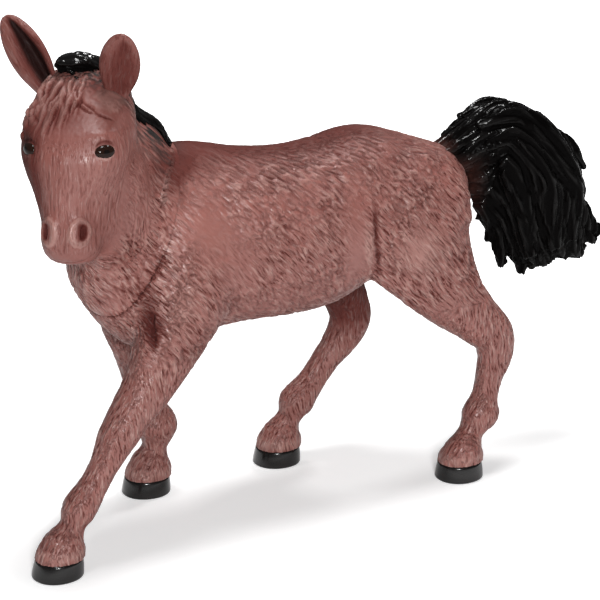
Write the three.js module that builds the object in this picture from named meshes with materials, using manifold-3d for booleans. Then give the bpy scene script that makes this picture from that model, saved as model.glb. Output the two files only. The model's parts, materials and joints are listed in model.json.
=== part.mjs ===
// A toy foal in soft vinyl, walking, with its head turned to its left.
// Millimetres, +Z up, head towards -X, the foal's left side towards -Y, hooves on the ground at z = 0.
import * as THREE from "three";
import { mergeVertices } from "three/addons/utils/BufferGeometryUtils.js";
import Module from "manifold-3d";

const wasm = await Module();
wasm.setup();

// Driving sizes of the figure
const bodyLength = 100; // point of the shoulder to the buttock
const croupHeight = 100; // ground to the top of the croup
const bodyWidth = 40; // thigh to thigh
const legThickness = 10; // side to side at the fetlock
const muscleRise = 0.5; // how far a muscle stands out of the trunk
const wall = 2.4; // vinyl wall of the hollow castings
const fit = 0.3; // clearance between neighbouring castings

// The head, in its own frame: forward out of the face, left, and up along the line of the nose
const headLength = 50; // poll to lips
const headWidth = 22; // across the eye sockets
const headDepth = 28; // forehead to the back of the jaw
const headYaw = 46; // degrees that the head is turned to its left
const headPitch = 10; // degrees that the nose leans forward
const headRoll = 2; // degrees that its left eye is raised
const headWall = 3.2; // vinyl is thicker round the skull and the muzzle
const eyeRadius = 2.1;
const eyeSunk = 0.9; // centre of the eyeball below the skin
const nostrilLength = 4.2;
const nostrilWidth = 2.2;
const nostrilDepth = 1.6;

// Ears, spoon shaped
const earLength = 22;
const earWidth = 10.5;
const earThickness = 5.4;
const earWall = 1.1;
const hollowShare = 0.08; // how far up the ear its hollow begins

// Neck plug that turns in the collar of the body
const neckYaw = 17; // degrees that the neck's joint faces to the left
const neckRise = 30; // degrees that it faces up
const plugRadius = 8;
const plugLip = 1.8; // how far the end flange stands out past the plug
const plugLipLength = 2;
const plugFit = 0.1; // running clearance of the plug's stem in the collar
const plugBore = 4.5;
const collarReach = 9.6; // how far the collar's hole is cut each way from the joint
const boreDepth = 14.4; // the plug's bore, from the joint back into the body
const boreRise = 7.2; // and on into the neck

// Pegs of the legs and of the tail
const pegRadius = 3;
const pegReach = 2; // how far a peg stands out inside the body
const pegRoot = 1.6; // how far it runs into its own casting
const tailPegRadius = 2.6;

// Hooves
const hoofHeight = 5.4;
const hoofLength = 14.2;
const hoofWidth = 12.8;
const hoofFlare = 0.7; // how far the sole stands out past the top of the hoof
const hoofLeanShare = 0.35; // how much of the pastern's slope the hoof keeps
const heelShare = 0.88; // length of the heel's half against the toe's half

// Mane and tail
const maneHeight = 5;
const maneWidth = 5;
const tailWidth = 30;
const tailThickness = 16;
const lockWidth = 7.4;
const lockThickness = 4.6;
const lockRise = 1.2; // how far a main lock stands out of the fan

// How round each oval is: a power of 2 is an ellipse, a higher one is squarer
const trunkPower = 2.15;
const crestPower = 1.6;
const headPower = 2.2;
const jowlPower = 1.5;
const legPower = 2.1;
const hairPower = 2;

// How finely the skins are divided
const torsoSides = 24;
const cavitySides = 14;
const headSides = 20;
const jowlSides = 14;
const legSides = 14;
const earSides = 12;
const hairSides = 12;
const lockSides = 8;
const hoofSides = 20;
const pegSides = 16;
const plugSides = 24;
const ballSides = 12;
const ballRings = 8;
const fine = 2; // rings for each row of a table
const coarse = 1;

const colours = { skin: 0x93675f, black: 0x1a1716, eye: 0x140c0a };
const finishes = { skin: 0.46, black: 0.22, eye: 0.08 };

const across = new THREE.Vector3(0, 1, 0);
const upright = new THREE.Vector3(0, 0, 1);

// Places are shares of the body's length, width and height
function place([alongShare, acrossShare, heightShare]) {
  return new THREE.Vector3(bodyLength * alongShare, bodyWidth * acrossShare, croupHeight * heightShare);
}

// Rows of a table with smooth rows put in between, by a Catmull-Rom spline through each column
function smoothRows(rows, steps) {
  const columns = rows[0].length;
  const result = [];
  const at = (i) => rows[Math.max(0, Math.min(rows.length - 1, i))];
  for (let i = 0; i < rows.length - 1; i++)
    for (let s = 0; s < steps; s++) {
      const t = s / steps;
      const row = [];
      for (let c = 0; c < columns; c++) {
        const [before, from, to, after] = [at(i - 1)[c], at(i)[c], at(i + 1)[c], at(i + 2)[c]];
        const slope = to - before;
        const bend = 2 * before - 5 * from + 4 * to - after;
        const twist = 3 * from - before - 3 * to + after;
        row.push((2 * from + slope * t + bend * t ** 2 + twist * t ** 3) / 2);
      }
      result.push(row);
    }
  result.push(rows[rows.length - 1]);
  return result;
}

// A closed skin through rings of equal length, with a fan over each end
function skin(rings) {
  const sides = rings[0].length;
  const points = rings.flat();
  const faces = [];
  for (let i = 0; i < rings.length - 1; i++)
    for (let j = 0; j < sides; j++) {
      const [a, b] = [i * sides + j, i * sides + ((j + 1) % sides)];
      faces.push(a, b, b + sides, a, b + sides, a + sides);
    }
  for (const [ring, turned] of [[0, true], [rings.length - 1, false]]) {
    const middle = new THREE.Vector3();
    for (const p of rings[ring]) middle.addScaledVector(p, 1 / sides);
    points.push(middle);
    for (let j = 0; j < sides; j++) {
      const [a, b] = [ring * sides + j, ring * sides + ((j + 1) % sides)];
      faces.push(points.length - 1, turned ? b : a, turned ? a : b);
    }
  }
  const geometry = new THREE.BufferGeometry().setFromPoints(points).setIndex(faces);
  return solidOf(geometry);
}

// A geometry as a solid, with its faces turned outwards
function solidOf(geometry) {
  const bare = geometry.clone();
  bare.deleteAttribute("normal");
  bare.deleteAttribute("uv");
  const merged = mergeVertices(bare);
  const vertProperties = merged.attributes.position.array;
  const triVerts = new Uint32Array(merged.index.array);
  const corner = (i) => new THREE.Vector3().fromArray(vertProperties, triVerts[i] * 3);
  let volume = 0;
  for (let i = 0; i < triVerts.length; i += 3) volume += corner(i).dot(corner(i + 1).cross(corner(i + 2)));
  if (volume < 0)
    for (let i = 0; i < triVerts.length; i += 3)
      [triVerts[i + 1], triVerts[i + 2]] = [triVerts[i + 2], triVerts[i + 1]];
  return new wasm.Manifold(new wasm.Mesh({ numProp: 3, vertProperties, triVerts }));
}

// A unit oval, squared off as its power rises: power 2 is an ellipse
function oval(angle, power) {
  const bulge = (v) => Math.sign(v) * Math.abs(v) ** (2 / power);
  return [bulge(Math.cos(angle)), bulge(Math.sin(angle))];
}

function ringOf(sides, point) {
  return Array.from({ length: sides }, (_, j) => point((2 * Math.PI * j) / sides));
}

// The rings of a limb, set square to its path. A row is a place, a depth, a width and, for the lower leg,
// how far the ring has turned level with the ground.
function limb(rows, sides, power) {
  const middles = rows.map((row) => row.middle);
  return rows.map((row, i) => {
    const before = middles[Math.max(0, i - 1)];
    const after = middles[Math.min(rows.length - 1, i + 1)];
    const along = after.clone().sub(before).normalize();
    along.lerp(upright.clone().negate(), row.level).normalize();
    const deep = new THREE.Vector3().crossVectors(across, along).normalize();
    const wide = new THREE.Vector3().crossVectors(along, deep).normalize();
    return ringOf(sides, (angle) => {
      const [u, v] = oval(angle, power);
      return row.middle.clone()
        .addScaledVector(deep, (u * row.depth) / 2)
        .addScaledVector(wide, (v * row.width) / 2);
    });
  });
}

// The trunk from chest to buttock. Shares: along, top, bottom, half width, the height of the widest place
// between bottom and top, and the power of the oval's upper half, which is low where the back is a ridge.
const trunkShares = [
  [-0.645, 0.76, 0.7, 0.12, 0.5, 2],
  [-0.615, 0.84, 0.64, 0.24, 0.48, 1.9],
  [-0.57, 0.91, 0.575, 0.31, 0.44, 1.8],
  [-0.51, 0.965, 0.52, 0.355, 0.42, 1.65],
  [-0.44, 1.01, 0.5, 0.38, 0.4, 1.5],
  [-0.36, 1.035, 0.512, 0.4, 0.4, 1.45],
  [-0.27, 1.02, 0.528, 0.43, 0.42, 1.6],
  [-0.17, 0.996, 0.532, 0.46, 0.44, 1.85],
  [-0.06, 0.98, 0.526, 0.47, 0.45, 2],
  [0.05, 0.982, 0.53, 0.465, 0.47, 2],
  [0.14, 1.0, 0.555, 0.43, 0.5, 1.9],
  [0.22, 0.996, 0.592, 0.395, 0.53, 1.9],
  [0.31, 0.966, 0.618, 0.365, 0.55, 2],
  [0.39, 0.935, 0.63, 0.335, 0.56, 2],
  [0.45, 0.91, 0.655, 0.29, 0.56, 2],
  [0.49, 0.87, 0.69, 0.21, 0.56, 2],
  [0.51, 0.83, 0.74, 0.1, 0.56, 2],
];
// Muscles that stand out of both sides of the trunk. Shares: along, height, and the reach along and up
const muscleShares = [
  [-0.37, 0.8, 0.09, 0.12],
  [-0.45, 0.64, 0.05, 0.07],
  [0.28, 0.72, 0.09, 0.1],
];

function muscle(along, z) {
  let rise = 0;
  for (const [middle, height, reach, tall] of muscleShares) {
    const away = ((along - middle) / reach) ** 2 + ((z / croupHeight - height) / tall) ** 2;
    rise += muscleRise * Math.exp(-away);
  }
  return rise;
}

function trunk(grow, steps = fine, sides = torsoSides) {
  const rows = smoothRows(trunkShares, steps);
  const last = rows.length - 1;
  const rings = rows.map(([along, top, bottom, half, level, ridge], i) => {
    const reach = i === 0 ? -grow : i === last ? grow : 0;
    const high = croupHeight * top + grow;
    const low = croupHeight * bottom - grow;
    const middle = low + (high - low) * level;
    return ringOf(sides, (angle) => {
      const [u, v] = oval(angle, Math.sin(angle) > 0 ? ridge : trunkPower);
      const z = middle + (v > 0 ? (high - middle) * v : (middle - low) * v);
      const out = bodyWidth * half + grow + muscle(along, z);
      return new THREE.Vector3(bodyLength * along + reach, u * out, z);
    });
  });
  return skin(rings);
}

// Frame of the head
const faceShares = [-0.753, -0.468, 1.108]; // between the eyes, on the skin
const faceMiddle = place(faceShares);
const headTurn = new THREE.Matrix4().makeRotationZ(Math.PI + THREE.MathUtils.degToRad(headYaw));
const headLean = new THREE.Matrix4().makeRotationY(THREE.MathUtils.degToRad(-headPitch))
  .premultiply(new THREE.Matrix4().makeRotationX(THREE.MathUtils.degToRad(headRoll)));
const headFrame = headTurn.clone().multiply(headLean).setPosition(faceMiddle);

// A point of the head from its distances forward, left and up, in millimetres
function onHead(forward, left, up) {
  return new THREE.Vector3(forward, left, up).applyMatrix4(headFrame);
}

// A place on the head, in shares of its depth, of half its width and of its length
function headPlace([forwardShare, leftShare, upShare], side) {
  return onHead(headDepth * forwardShare, (side * headWidth * leftShare) / 2, headLength * upShare);
}

// The neck, from inside the chest to the poll. Each row gives the crest line, the throat line and the
// half width. The lower rows are places of the body with the half width as a share of the body's, and the
// upper rows are places on the head with it as a share of the head's.
const lowerNeckShares = [
  [[-0.27, 0.0, 0.93], [-0.47, 0.02, 0.58], 0.35],
  [[-0.37, 0.0, 1.03], [-0.61, 0.09, 0.65], 0.37],
  [[-0.415, -0.005, 1.09], [-0.65, 0.03, 0.77], 0.31],
];
const upperNeckShares = [
  [[-1.1, 0.64, 0.165], [-0.735, -0.55, -0.385], 0.49],
  [[-0.9, 0.36, 0.275], [-0.53, -0.4, -0.225], 0.43],
  [[-0.7, 0.25, 0.315], [-0.28, -0.38, -0.09], 0.36],
];
const onBody = ([crest, throat, half]) => [...place(crest), ...place(throat), bodyWidth * half];
const onPoll = ([crest, throat, half]) => [...headPlace(crest, 1), ...headPlace(throat, 1), headWidth * half];
const neckRows = [...lowerNeckShares.map(onBody), ...upperNeckShares.map(onPoll)];

function neck(grow, steps = fine, sides = headSides) {
  const rings = smoothRows(neckRows, steps).map(([cx, cy, cz, tx, ty, tz, half]) => {
    const crest = new THREE.Vector3(cx, cy, cz);
    const throat = new THREE.Vector3(tx, ty, tz);
    const middle = crest.clone().add(throat).multiplyScalar(0.5);
    const deep = crest.clone().sub(throat);
    const depth = deep.length() / 2 + grow;
    deep.normalize();
    return ringOf(sides, (angle) => {
      const [u, v] = oval(angle, Math.sin(angle) > 0 ? crestPower : trunkPower);
      const wide = u * (half + grow);
      return middle.clone().addScaledVector(deep, v * depth).addScaledVector(across, wide);
    });
  });
  return skin(rings);
}

// The joint between neck and body: its middle, and its axis out of the body
const jointShares = [-0.485, -0.025, 0.83];
const jointMiddle = place(jointShares);
const jointAxis = new THREE.Vector3(-1, 0, 0)
  .applyAxisAngle(across, THREE.MathUtils.degToRad(neckRise))
  .applyAxisAngle(upright, THREE.MathUtils.degToRad(neckYaw));

// Everything on the head's side of the joint, from a distance past it; a negative distance starts inside
// the body
function headSide(distance) {
  const reach = 2 * (bodyLength + croupHeight);
  const block = new THREE.BoxGeometry(reach, reach, reach);
  block.translate(0, 0, reach / 2 + distance);
  return solidOf(turned(block, jointMiddle, jointAxis));
}

// A geometry that was drawn along +Z, moved to stand at a place along an axis
function turned(geometry, at, axis) {
  const turn = new THREE.Quaternion().setFromUnitVectors(upright, axis);
  return geometry.applyQuaternion(turn).translate(at.x, at.y, at.z);
}

// A round body about an axis, from a profile of radius and distance along it
function lathed(profile, at, axis, sides) {
  const geometry = new THREE.LatheGeometry(profile.map(([r, z]) => new THREE.Vector2(r, z)), sides);
  geometry.rotateX(Math.PI / 2);
  return solidOf(turned(geometry, at, axis));
}

function rod(radius, from, to) {
  const length = from.distanceTo(to);
  const axis = to.clone().sub(from).normalize();
  return lathed([[0, 0], [radius, 0], [radius, length], [0, length]], from, axis, pegSides);
}

// The head from poll to lips. Shares: up the head, front, back, half width, how far forward the widest
// place lies between back and front, and how far left the middle lies.
const headShares = [
  [0.395, -0.66, -0.86, 0.4, 0.5, -0.12],
  [0.355, -0.54, -0.93, 0.78, 0.5, -0.1],
  [0.275, -0.4, -0.97, 1.02, 0.5, -0.06],
  [0.17, -0.21, -0.98, 1.18, 0.52, -0.03],
  [0.08, -0.07, -0.97, 1.26, 0.54, -0.02],
  [-0.02, 0.0, -0.94, 1.24, 0.54, -0.02],
  [-0.1, 0.0, -0.88, 1.13, 0.49, -0.04],
  [-0.19, -0.01, -0.79, 0.95, 0.43, -0.05],
  [-0.28, -0.02, -0.66, 0.78, 0.38, -0.06],
  [-0.35, -0.01, -0.58, 0.68, 0.41, -0.04],
  [-0.415, 0.0, -0.52, 0.67, 0.48, -0.02],
  [-0.47, -0.03, -0.48, 0.64, 0.51, 0],
  [-0.52, -0.09, -0.44, 0.52, 0.5, 0],
  [-0.545, -0.16, -0.38, 0.28, 0.5, 0],
];
// The left jowl, pressed against the neck because the head is turned that way, in the same shares
const jowlShares = [
  [0.05, -0.45, -0.85, 0.5, 0.3, 0.5],
  [-0.06, -0.3, -0.96, 0.72, 0.25, 0.5],
  [-0.18, -0.22, -1.0, 0.8, 0.22, 0.48],
  [-0.3, -0.2, -1.02, 0.8, 0.2, 0.46],
  [-0.4, -0.24, -1.02, 0.76, 0.2, 0.44],
  [-0.48, -0.38, -1.0, 0.68, 0.22, 0.42],
  [-0.55, -0.56, -0.97, 0.52, 0.3, 0.38],
  [-0.61, -0.72, -0.92, 0.3, 0.4, 0.34],
];

function skull(grow, steps = fine, sides = headSides) {
  const face = headForm(headShares, grow, steps, sides, headPower);
  return face.add(headForm(jowlShares, grow, steps, jowlSides, jowlPower));
}

// A form of the head, with rings across its length
function headForm(table, grow, steps, sides, power) {
  const rows = smoothRows(table, steps);
  const last = rows.length - 1;
  const rings = rows.map(([up, front, back, half, level, left], i) => {
    const reach = i === 0 ? grow : i === last ? -grow : 0;
    const fore = headDepth * front + grow;
    const aft = headDepth * back - grow;
    const middle = aft + (fore - aft) * level;
    return ringOf(sides, (angle) => {
      const [u, v] = oval(angle, power);
      const out = v > 0 ? (fore - middle) * v : (middle - aft) * v;
      const aside = (headWidth * (left + u * half)) / 2 + u * grow;
      return onHead(middle + out, aside, headLength * up + reach);
    });
  });
  return skin(rings);
}

// Places on the head, as shares of its depth, half its width and its length
const eyeShares = [-0.14, 0.96, 0.005];
const nostrilShares = [-0.045, 0.36, -0.38];
const earShares = [-0.6, 0.74, 0.245];

// A ball stretched to three sizes along the head's own axes
function headBall(at, forward, left, up) {
  const ball = new THREE.SphereGeometry(1, ballSides, ballRings).scale(forward, left, up);
  ball.applyMatrix4(new THREE.Matrix4().extractRotation(headFrame)).translate(at.x, at.y, at.z);
  return solidOf(ball);
}

function eyeMiddle(side) {
  const skinPoint = headPlace(eyeShares, side);
  const out = onHead(0, side, 0).sub(onHead(0, 0, 0)).normalize();
  return skinPoint.addScaledVector(out, -eyeSunk);
}

function eye(side, grow) {
  const radius = eyeRadius + grow;
  return headBall(eyeMiddle(side), radius, radius, radius);
}

function nostril(side) {
  return headBall(headPlace(nostrilShares, side), nostrilDepth, nostrilWidth / 2, nostrilLength / 2);
}

// An ear stands on the head along its own direction, with its hollow towards its facing
// Shares along the ear of its half width and of its half thickness
const earOutlineShares = [
  [-0.16, 0.3, 0.5],
  [0.0, 0.46, 0.8],
  [0.16, 0.68, 1.0],
  [0.36, 0.93, 1.0],
  [0.56, 1.0, 0.86],
  [0.74, 0.89, 0.66],
  [0.88, 0.66, 0.44],
  [0.96, 0.42, 0.28],
  [1.0, 0.16, 0.12],
];
const earPoses = {
  left: { side: 1, lean: [0.8, 0.37, 1], facing: [1, 0.2, 0], lengthShare: 1, widthShare: 0.96 },
  right: { side: -1, lean: [-0.04, -0.66, 1], facing: [1, 0.1, 0], lengthShare: 1.07, widthShare: 0.92 },
};

function ear({ side, lean, facing, lengthShare, widthShare }) {
  const root = headPlace(earShares, side);
  const origin = onHead(0, 0, 0);
  const along = onHead(...lean).sub(origin).normalize();
  const out = onHead(...facing).sub(origin);
  out.addScaledVector(along, -out.dot(along)).normalize();
  const wide = new THREE.Vector3().crossVectors(along, out);
  const layer = (shrink, forward, start, steps) =>
    skin(smoothRows(earOutlineShares, steps).map(([t, half, thick]) => {
      const s = start + t * (1 - start);
      const middle = root.clone().addScaledVector(along, earLength * lengthShare * s - shrink * t);
      middle.addScaledVector(out, forward);
      return ringOf(earSides, (angle) => {
        const [u, v] = oval(angle, hairPower);
        return middle.clone()
          .addScaledVector(wide, u * Math.max(earWall / 2, (earWidth * widthShare * half) / 2 - shrink))
          .addScaledVector(out, v * Math.max(earWall / 2, (earThickness * thick) / 2));
      });
    }));
  const hollow = layer(earWall, earThickness / 2, hollowShare, coarse);
  return layer(0, 0, 0, fine).subtract(hollow);
}

// Legs. Each row: along, across, height, depth and width in shares of the leg's thickness
const foreLeftShares = [
  [-0.3, -0.22, 0.89, 1.4, 0.7],
  [-0.345, -0.27, 0.79, 2.5, 1.15],
  [-0.39, -0.31, 0.67, 2.5, 1.4],
  [-0.445, -0.33, 0.56, 1.9, 1.3],
  [-0.51, -0.35, 0.455, 1.4, 1.15],
  [-0.567, -0.37, 0.39, 1.12, 1.06],
  [-0.61, -0.385, 0.335, 1.0, 1.0],
  [-0.645, -0.395, 0.28, 0.78, 0.78],
  [-0.68, -0.4, 0.225, 0.72, 0.72],
  [-0.728, -0.41, 0.165, 0.88, 0.88],
  [-0.75, -0.412, 0.122, 0.64, 0.68],
  [-0.774, -0.414, 0.088, 1.04, 1.05],
];
const foreRightShares = [
  [-0.31, 0.22, 0.89, 1.4, 0.7],
  [-0.36, 0.27, 0.79, 2.5, 1.1],
  [-0.41, 0.31, 0.67, 2.4, 1.3],
  [-0.425, 0.35, 0.55, 1.8, 1.2],
  [-0.405, 0.39, 0.45, 1.34, 1.1],
  [-0.385, 0.42, 0.385, 1.2, 1.04],
  [-0.372, 0.435, 0.335, 1.12, 1.02],
  [-0.36, 0.44, 0.285, 0.9, 0.86],
  [-0.348, 0.45, 0.235, 0.88, 0.84],
  [-0.336, 0.45, 0.185, 1.18, 1.08],
  [-0.342, 0.45, 0.128, 0.66, 0.68],
  [-0.355, 0.45, 0.09, 1.04, 1.04],
];
const hindLeftShares = [
  [0.34, -0.2, 0.92, 1.6, 0.8],
  [0.32, -0.26, 0.82, 3.2, 1.3],
  [0.3, -0.29, 0.72, 3.5, 1.5],
  [0.35, -0.31, 0.615, 2.6, 1.42],
  [0.412, -0.33, 0.525, 1.9, 1.22],
  [0.483, -0.35, 0.45, 1.42, 1.04],
  [0.538, -0.365, 0.392, 1.22, 0.96],
  [0.547, -0.37, 0.335, 1.02, 0.9],
  [0.529, -0.375, 0.27, 0.76, 0.74],
  [0.513, -0.38, 0.215, 0.72, 0.7],
  [0.492, -0.39, 0.165, 0.95, 0.88],
  [0.464, -0.405, 0.122, 0.66, 0.7],
  [0.434, -0.43, 0.085, 1.05, 1.05],
];
const hindRightShares = [
  [0.32, 0.2, 0.92, 1.6, 0.8],
  [0.29, 0.26, 0.82, 3.2, 1.3],
  [0.25, 0.3, 0.71, 3.3, 1.5],
  [0.206, 0.34, 0.605, 2.2, 1.36],
  [0.226, 0.38, 0.51, 1.46, 1.14],
  [0.257, 0.41, 0.445, 1.22, 1.0],
  [0.273, 0.425, 0.39, 1.2, 0.96],
  [0.249, 0.435, 0.335, 1.02, 0.9],
  [0.198, 0.445, 0.275, 0.78, 0.76],
  [0.15, 0.45, 0.215, 0.78, 0.74],
  [0.103, 0.45, 0.165, 0.98, 0.92],
  [0.079, 0.45, 0.122, 0.64, 0.68],
  [0.055, 0.45, 0.086, 1.05, 1.05],
];

// A leg: its table, the place of its hoof and how far that turns out in degrees, and the place of its peg
const legs = {
  front_left: { rows: foreLeftShares, hoofShares: [-0.792, -0.417], hoofTurn: 12, pegShares: [-0.36, 0.7] },
  front_right: { rows: foreRightShares, hoofShares: [-0.367, 0.45], hoofTurn: 0, pegShares: [-0.37, 0.7] },
  hind_left: { rows: hindLeftShares, hoofShares: [0.412, -0.44], hoofTurn: 6, pegShares: [0.28, 0.74] },
  hind_right: { rows: hindRightShares, hoofShares: [0.043, 0.45], hoofTurn: 0, pegShares: [0.27, 0.74] },
};
const levelShare = 0.06; // how far above its last row a leg's rings start to level out

// How far forward of its sole the top of a hoof lies
function hoofLean({ rows, hoofShares }) {
  return hoofLeanShare * (rows[rows.length - 1][0] - hoofShares[0]);
}

function legRows(leg) {
  const { rows, hoofShares } = leg;
  const lowest = croupHeight * rows[rows.length - 1][2];
  const levelFrom = lowest + croupHeight * levelShare;
  const foot = [hoofShares[0], hoofShares[1], (hoofHeight + fit) / croupHeight];
  const topLength = (hoofLength - 2 * hoofFlare) / legThickness;
  const topWidth = (hoofWidth - 2 * hoofFlare) / legThickness;
  const table = [...rows, [foot[0] + hoofLean(leg), foot[1], foot[2], topLength, topWidth]];
  return smoothRows(table, fine).map(([x, y, z, depth, width]) => ({
    middle: place([x, y, z]),
    depth: legThickness * depth,
    width: legThickness * width,
    level: THREE.MathUtils.smoothstep(levelFrom - croupHeight * z, 0, levelFrom - hoofHeight - fit),
  }));
}

function legSkin(leg) {
  return skin(limb(legRows(leg), legSides, legPower));
}

// A peg across the body through its side, at a place along the body and a height
function peg({ rows, pegShares: [alongShare, heightShare] }, grow) {
  const side = Math.sign(rows[0][1]);
  const half = bodyWidth * trunkHalfAt(alongShare);
  const at = (y) => new THREE.Vector3(bodyLength * alongShare, side * y, croupHeight * heightShare);
  return rod(pegRadius + grow, at(half + pegRoot), at(half - wall - pegReach - grow));
}

// Half width of the trunk at a place along it, by straight lines between the table's rows
function trunkHalfAt(alongShare) {
  const i = trunkShares.findIndex((row) => row[0] >= alongShare);
  const [a, b] = [trunkShares[i - 1], trunkShares[i]];
  return a[3] + ((b[3] - a[3]) * (alongShare - a[0])) / (b[0] - a[0]);
}

// A hoof: level rings from the sole to the top. Shares: up the hoof, and how much of the flare is left
const hoofLevelShares = [[0, 0.94], [0.14, 1], [0.55, 0.5], [1, 0]];

function hoof(leg) {
  const lean = hoofLean(leg);
  const turn = THREE.MathUtils.degToRad(leg.hoofTurn);
  const rings = hoofLevelShares.map(([upShare, flareShare]) => {
    const middle = place([leg.hoofShares[0] + lean * upShare, leg.hoofShares[1], 0]);
    middle.addScaledVector(upright, hoofHeight * upShare);
    const long = hoofLength / 2 - hoofFlare * (1 - flareShare);
    const broad = hoofWidth / 2 - hoofFlare * (1 - flareShare);
    return ringOf(hoofSides, (angle) => {
      const [u, v] = oval(angle, legPower);
      const heel = u > 0 ? heelShare : 1;
      return new THREE.Vector3(u * long * heel, v * broad, 0).applyAxisAngle(upright, turn).add(middle);
    });
  });
  return skin(rings);
}

// Mane: a ridge of hair from a tuft between the ears over the poll and down the crest.
// Rows of the tuft: a place on the head, then height and width of the hair in shares
const tuftShares = [
  [[-0.58, -0.6, 0.38], 0.45, 0.6],
  [[-0.6, -0.42, 0.407], 0.8, 1.1],
  [[-0.62, -0.18, 0.415], 0.95, 1.4],
  [[-0.7, 0.04, 0.4], 1.0, 1.3],
  [[-0.83, 0.22, 0.375], 1.0, 1.1],
];
// Rows along the crest of the neck, from the poll down: the row of the neck, and how far the hair's middle
// lies above the crest, its height and its width in shares
const crestHairShares = [[4, 0.6, 1, 1], [3, -0.05, 0.8, 0.9], [2, -0.05, 0.58, 0.8], [1, -0.1, 0.4, 0.6]];

function crestHair([row, rise, high, wide]) {
  const [cx, cy, cz, tx, ty, tz] = neckRows[row];
  const crest = new THREE.Vector3(cx, cy, cz);
  const up = crest.clone().sub(new THREE.Vector3(tx, ty, tz)).normalize();
  return [...crest.addScaledVector(up, maneHeight * rise), high, wide];
}

function mane() {
  const tuft = tuftShares.map(([at, high, wide]) => [...headPlace(at, 1), high, wide]);
  const table = [...tuft, ...crestHairShares.map(crestHair)];
  const rows = smoothRows(table, fine).map(([x, y, z, high, wide]) => ({
    middle: new THREE.Vector3(x, y, z),
    depth: maneHeight * high,
    width: maneWidth * wide,
    level: 0,
  }));
  return skin(limb(rows, hairSides, hairPower));
}

// Tail: a thick root that rises from the dock, arches over and falls in a fan of hair
const tailShares = [
  [0.43, 0, 0.87, 0.28, 0.5],
  [0.49, 0, 0.885, 0.36, 0.6],
  [0.555, -0.01, 0.908, 0.47, 0.76],
  [0.62, -0.02, 0.928, 0.58, 0.9],
  [0.668, -0.035, 0.895, 0.72, 1.0],
  [0.718, -0.045, 0.82, 0.86, 1.0],
  [0.755, -0.05, 0.735, 0.98, 0.96],
  [0.77, -0.05, 0.65, 0.94, 0.88],
  [0.78, -0.05, 0.58, 0.78, 0.76],
  [0.79, -0.05, 0.53, 0.5, 0.5],
];
// Where the main locks lie across the fan, from its front edge to its back edge
const mainLockShares = [-0.62, -0.02, 0.56];
const lockTaperShare = 0.4; // how much thinner a main lock is at its ends
const [lockFirstRow, lockLastRow] = [2, 8]; // rows of the tail that the main locks follow
// Split ends of the hair, each a tapered lock
const lockShares = [
  [[0.86, -0.05, 0.72, 0.3, 0.4], [0.92, -0.05, 0.635, 0.26, 0.34], [0.985, -0.05, 0.575, 0.08, 0.12]],
  [[0.83, -0.06, 0.64, 0.34, 0.5], [0.88, -0.06, 0.56, 0.26, 0.4], [0.925, -0.06, 0.52, 0.08, 0.14]],
  [[0.55, -0.02, 0.885, 0.3, 0.6], [0.6, -0.03, 0.8, 0.5, 0.56], [0.625, -0.04, 0.7, 0.42, 0.44],
    [0.62, -0.04, 0.61, 0.06, 0.12]],
  [[0.74, -0.05, 0.62, 0.36, 0.5], [0.725, -0.05, 0.55, 0.24, 0.4], [0.715, -0.05, 0.505, 0.08, 0.14]],
];

function hairRows(table, steps) {
  return smoothRows(table, steps).map(([x, y, z, deep, wide]) => ({
    middle: place([x, y, z]),
    depth: tailWidth * deep,
    width: tailThickness * wide,
    level: 0,
  }));
}

function hair(table) {
  return skin(limb(hairRows(table, fine), hairSides, hairPower));
}

// A main lock that stands out of the fan's side: rows of the fan moved along its depth and out to the side
function mainLock(side, depthShare) {
  const rows = hairRows(tailShares.slice(lockFirstRow, lockLastRow + 1), coarse);
  const last = rows.length - 1;
  const lock = rows.map((row, i) => {
    const along = rows[Math.min(last, i + 1)].middle.clone().sub(rows[Math.max(0, i - 1)].middle).normalize();
    const deep = new THREE.Vector3().crossVectors(across, along).normalize();
    const bulge = Math.sqrt(1 - depthShare ** 2);
    const taper = 1 - lockTaperShare * Math.abs((2 * i) / last - 1);
    const middle = row.middle.clone()
      .addScaledVector(deep, (row.depth * depthShare) / 2)
      .addScaledVector(across, side * ((row.width * bulge) / 2 + lockRise - (lockThickness * taper) / 2));
    return { middle, depth: lockWidth * taper, width: lockThickness * taper, level: 0 };
  });
  return skin(limb(lock, lockSides, hairPower));
}

function tail() {
  let result = hair(tailShares);
  for (const table of lockShares) result = result.add(hair(table));
  for (const side of [1, -1])
    for (const depthShare of mainLockShares) result = result.add(mainLock(side, depthShare));
  return result;
}

// The tail's peg, along its root
const tailPegShares = { inner: [0.4, 0, 0.85], outer: [0.5, 0, 0.9] };

function tailPeg(grow) {
  const [inner, outer] = [place(tailPegShares.inner), place(tailPegShares.outer)];
  const back = inner.clone().sub(outer).normalize();
  return rod(tailPegRadius + grow, outer, inner.addScaledVector(back, grow));
}

// Plug of the neck: a round stem through the collar with a lip behind it
function plug() {
  const lip = plugRadius + plugLip;
  const behind = -wall - fit - fit / 2;
  const end = behind - plugLipLength;
  const profile = [[0, end], [lip, end], [lip, behind], [plugRadius, behind], [plugRadius, wall], [0, wall]];
  return lathed(profile, jointMiddle, jointAxis, plugSides);
}

function collarHole() {
  const radius = plugRadius + plugFit;
  const profile = [[0, -collarReach], [radius, -collarReach], [radius, collarReach], [0, collarReach]];
  return lathed(profile, jointMiddle, jointAxis, plugSides);
}

function plugHole() {
  const profile = [[0, -boreDepth], [plugBore, -boreDepth], [plugBore, boreRise], [0, boreRise]];
  return lathed(profile, jointMiddle, jointAxis, plugSides);
}

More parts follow.
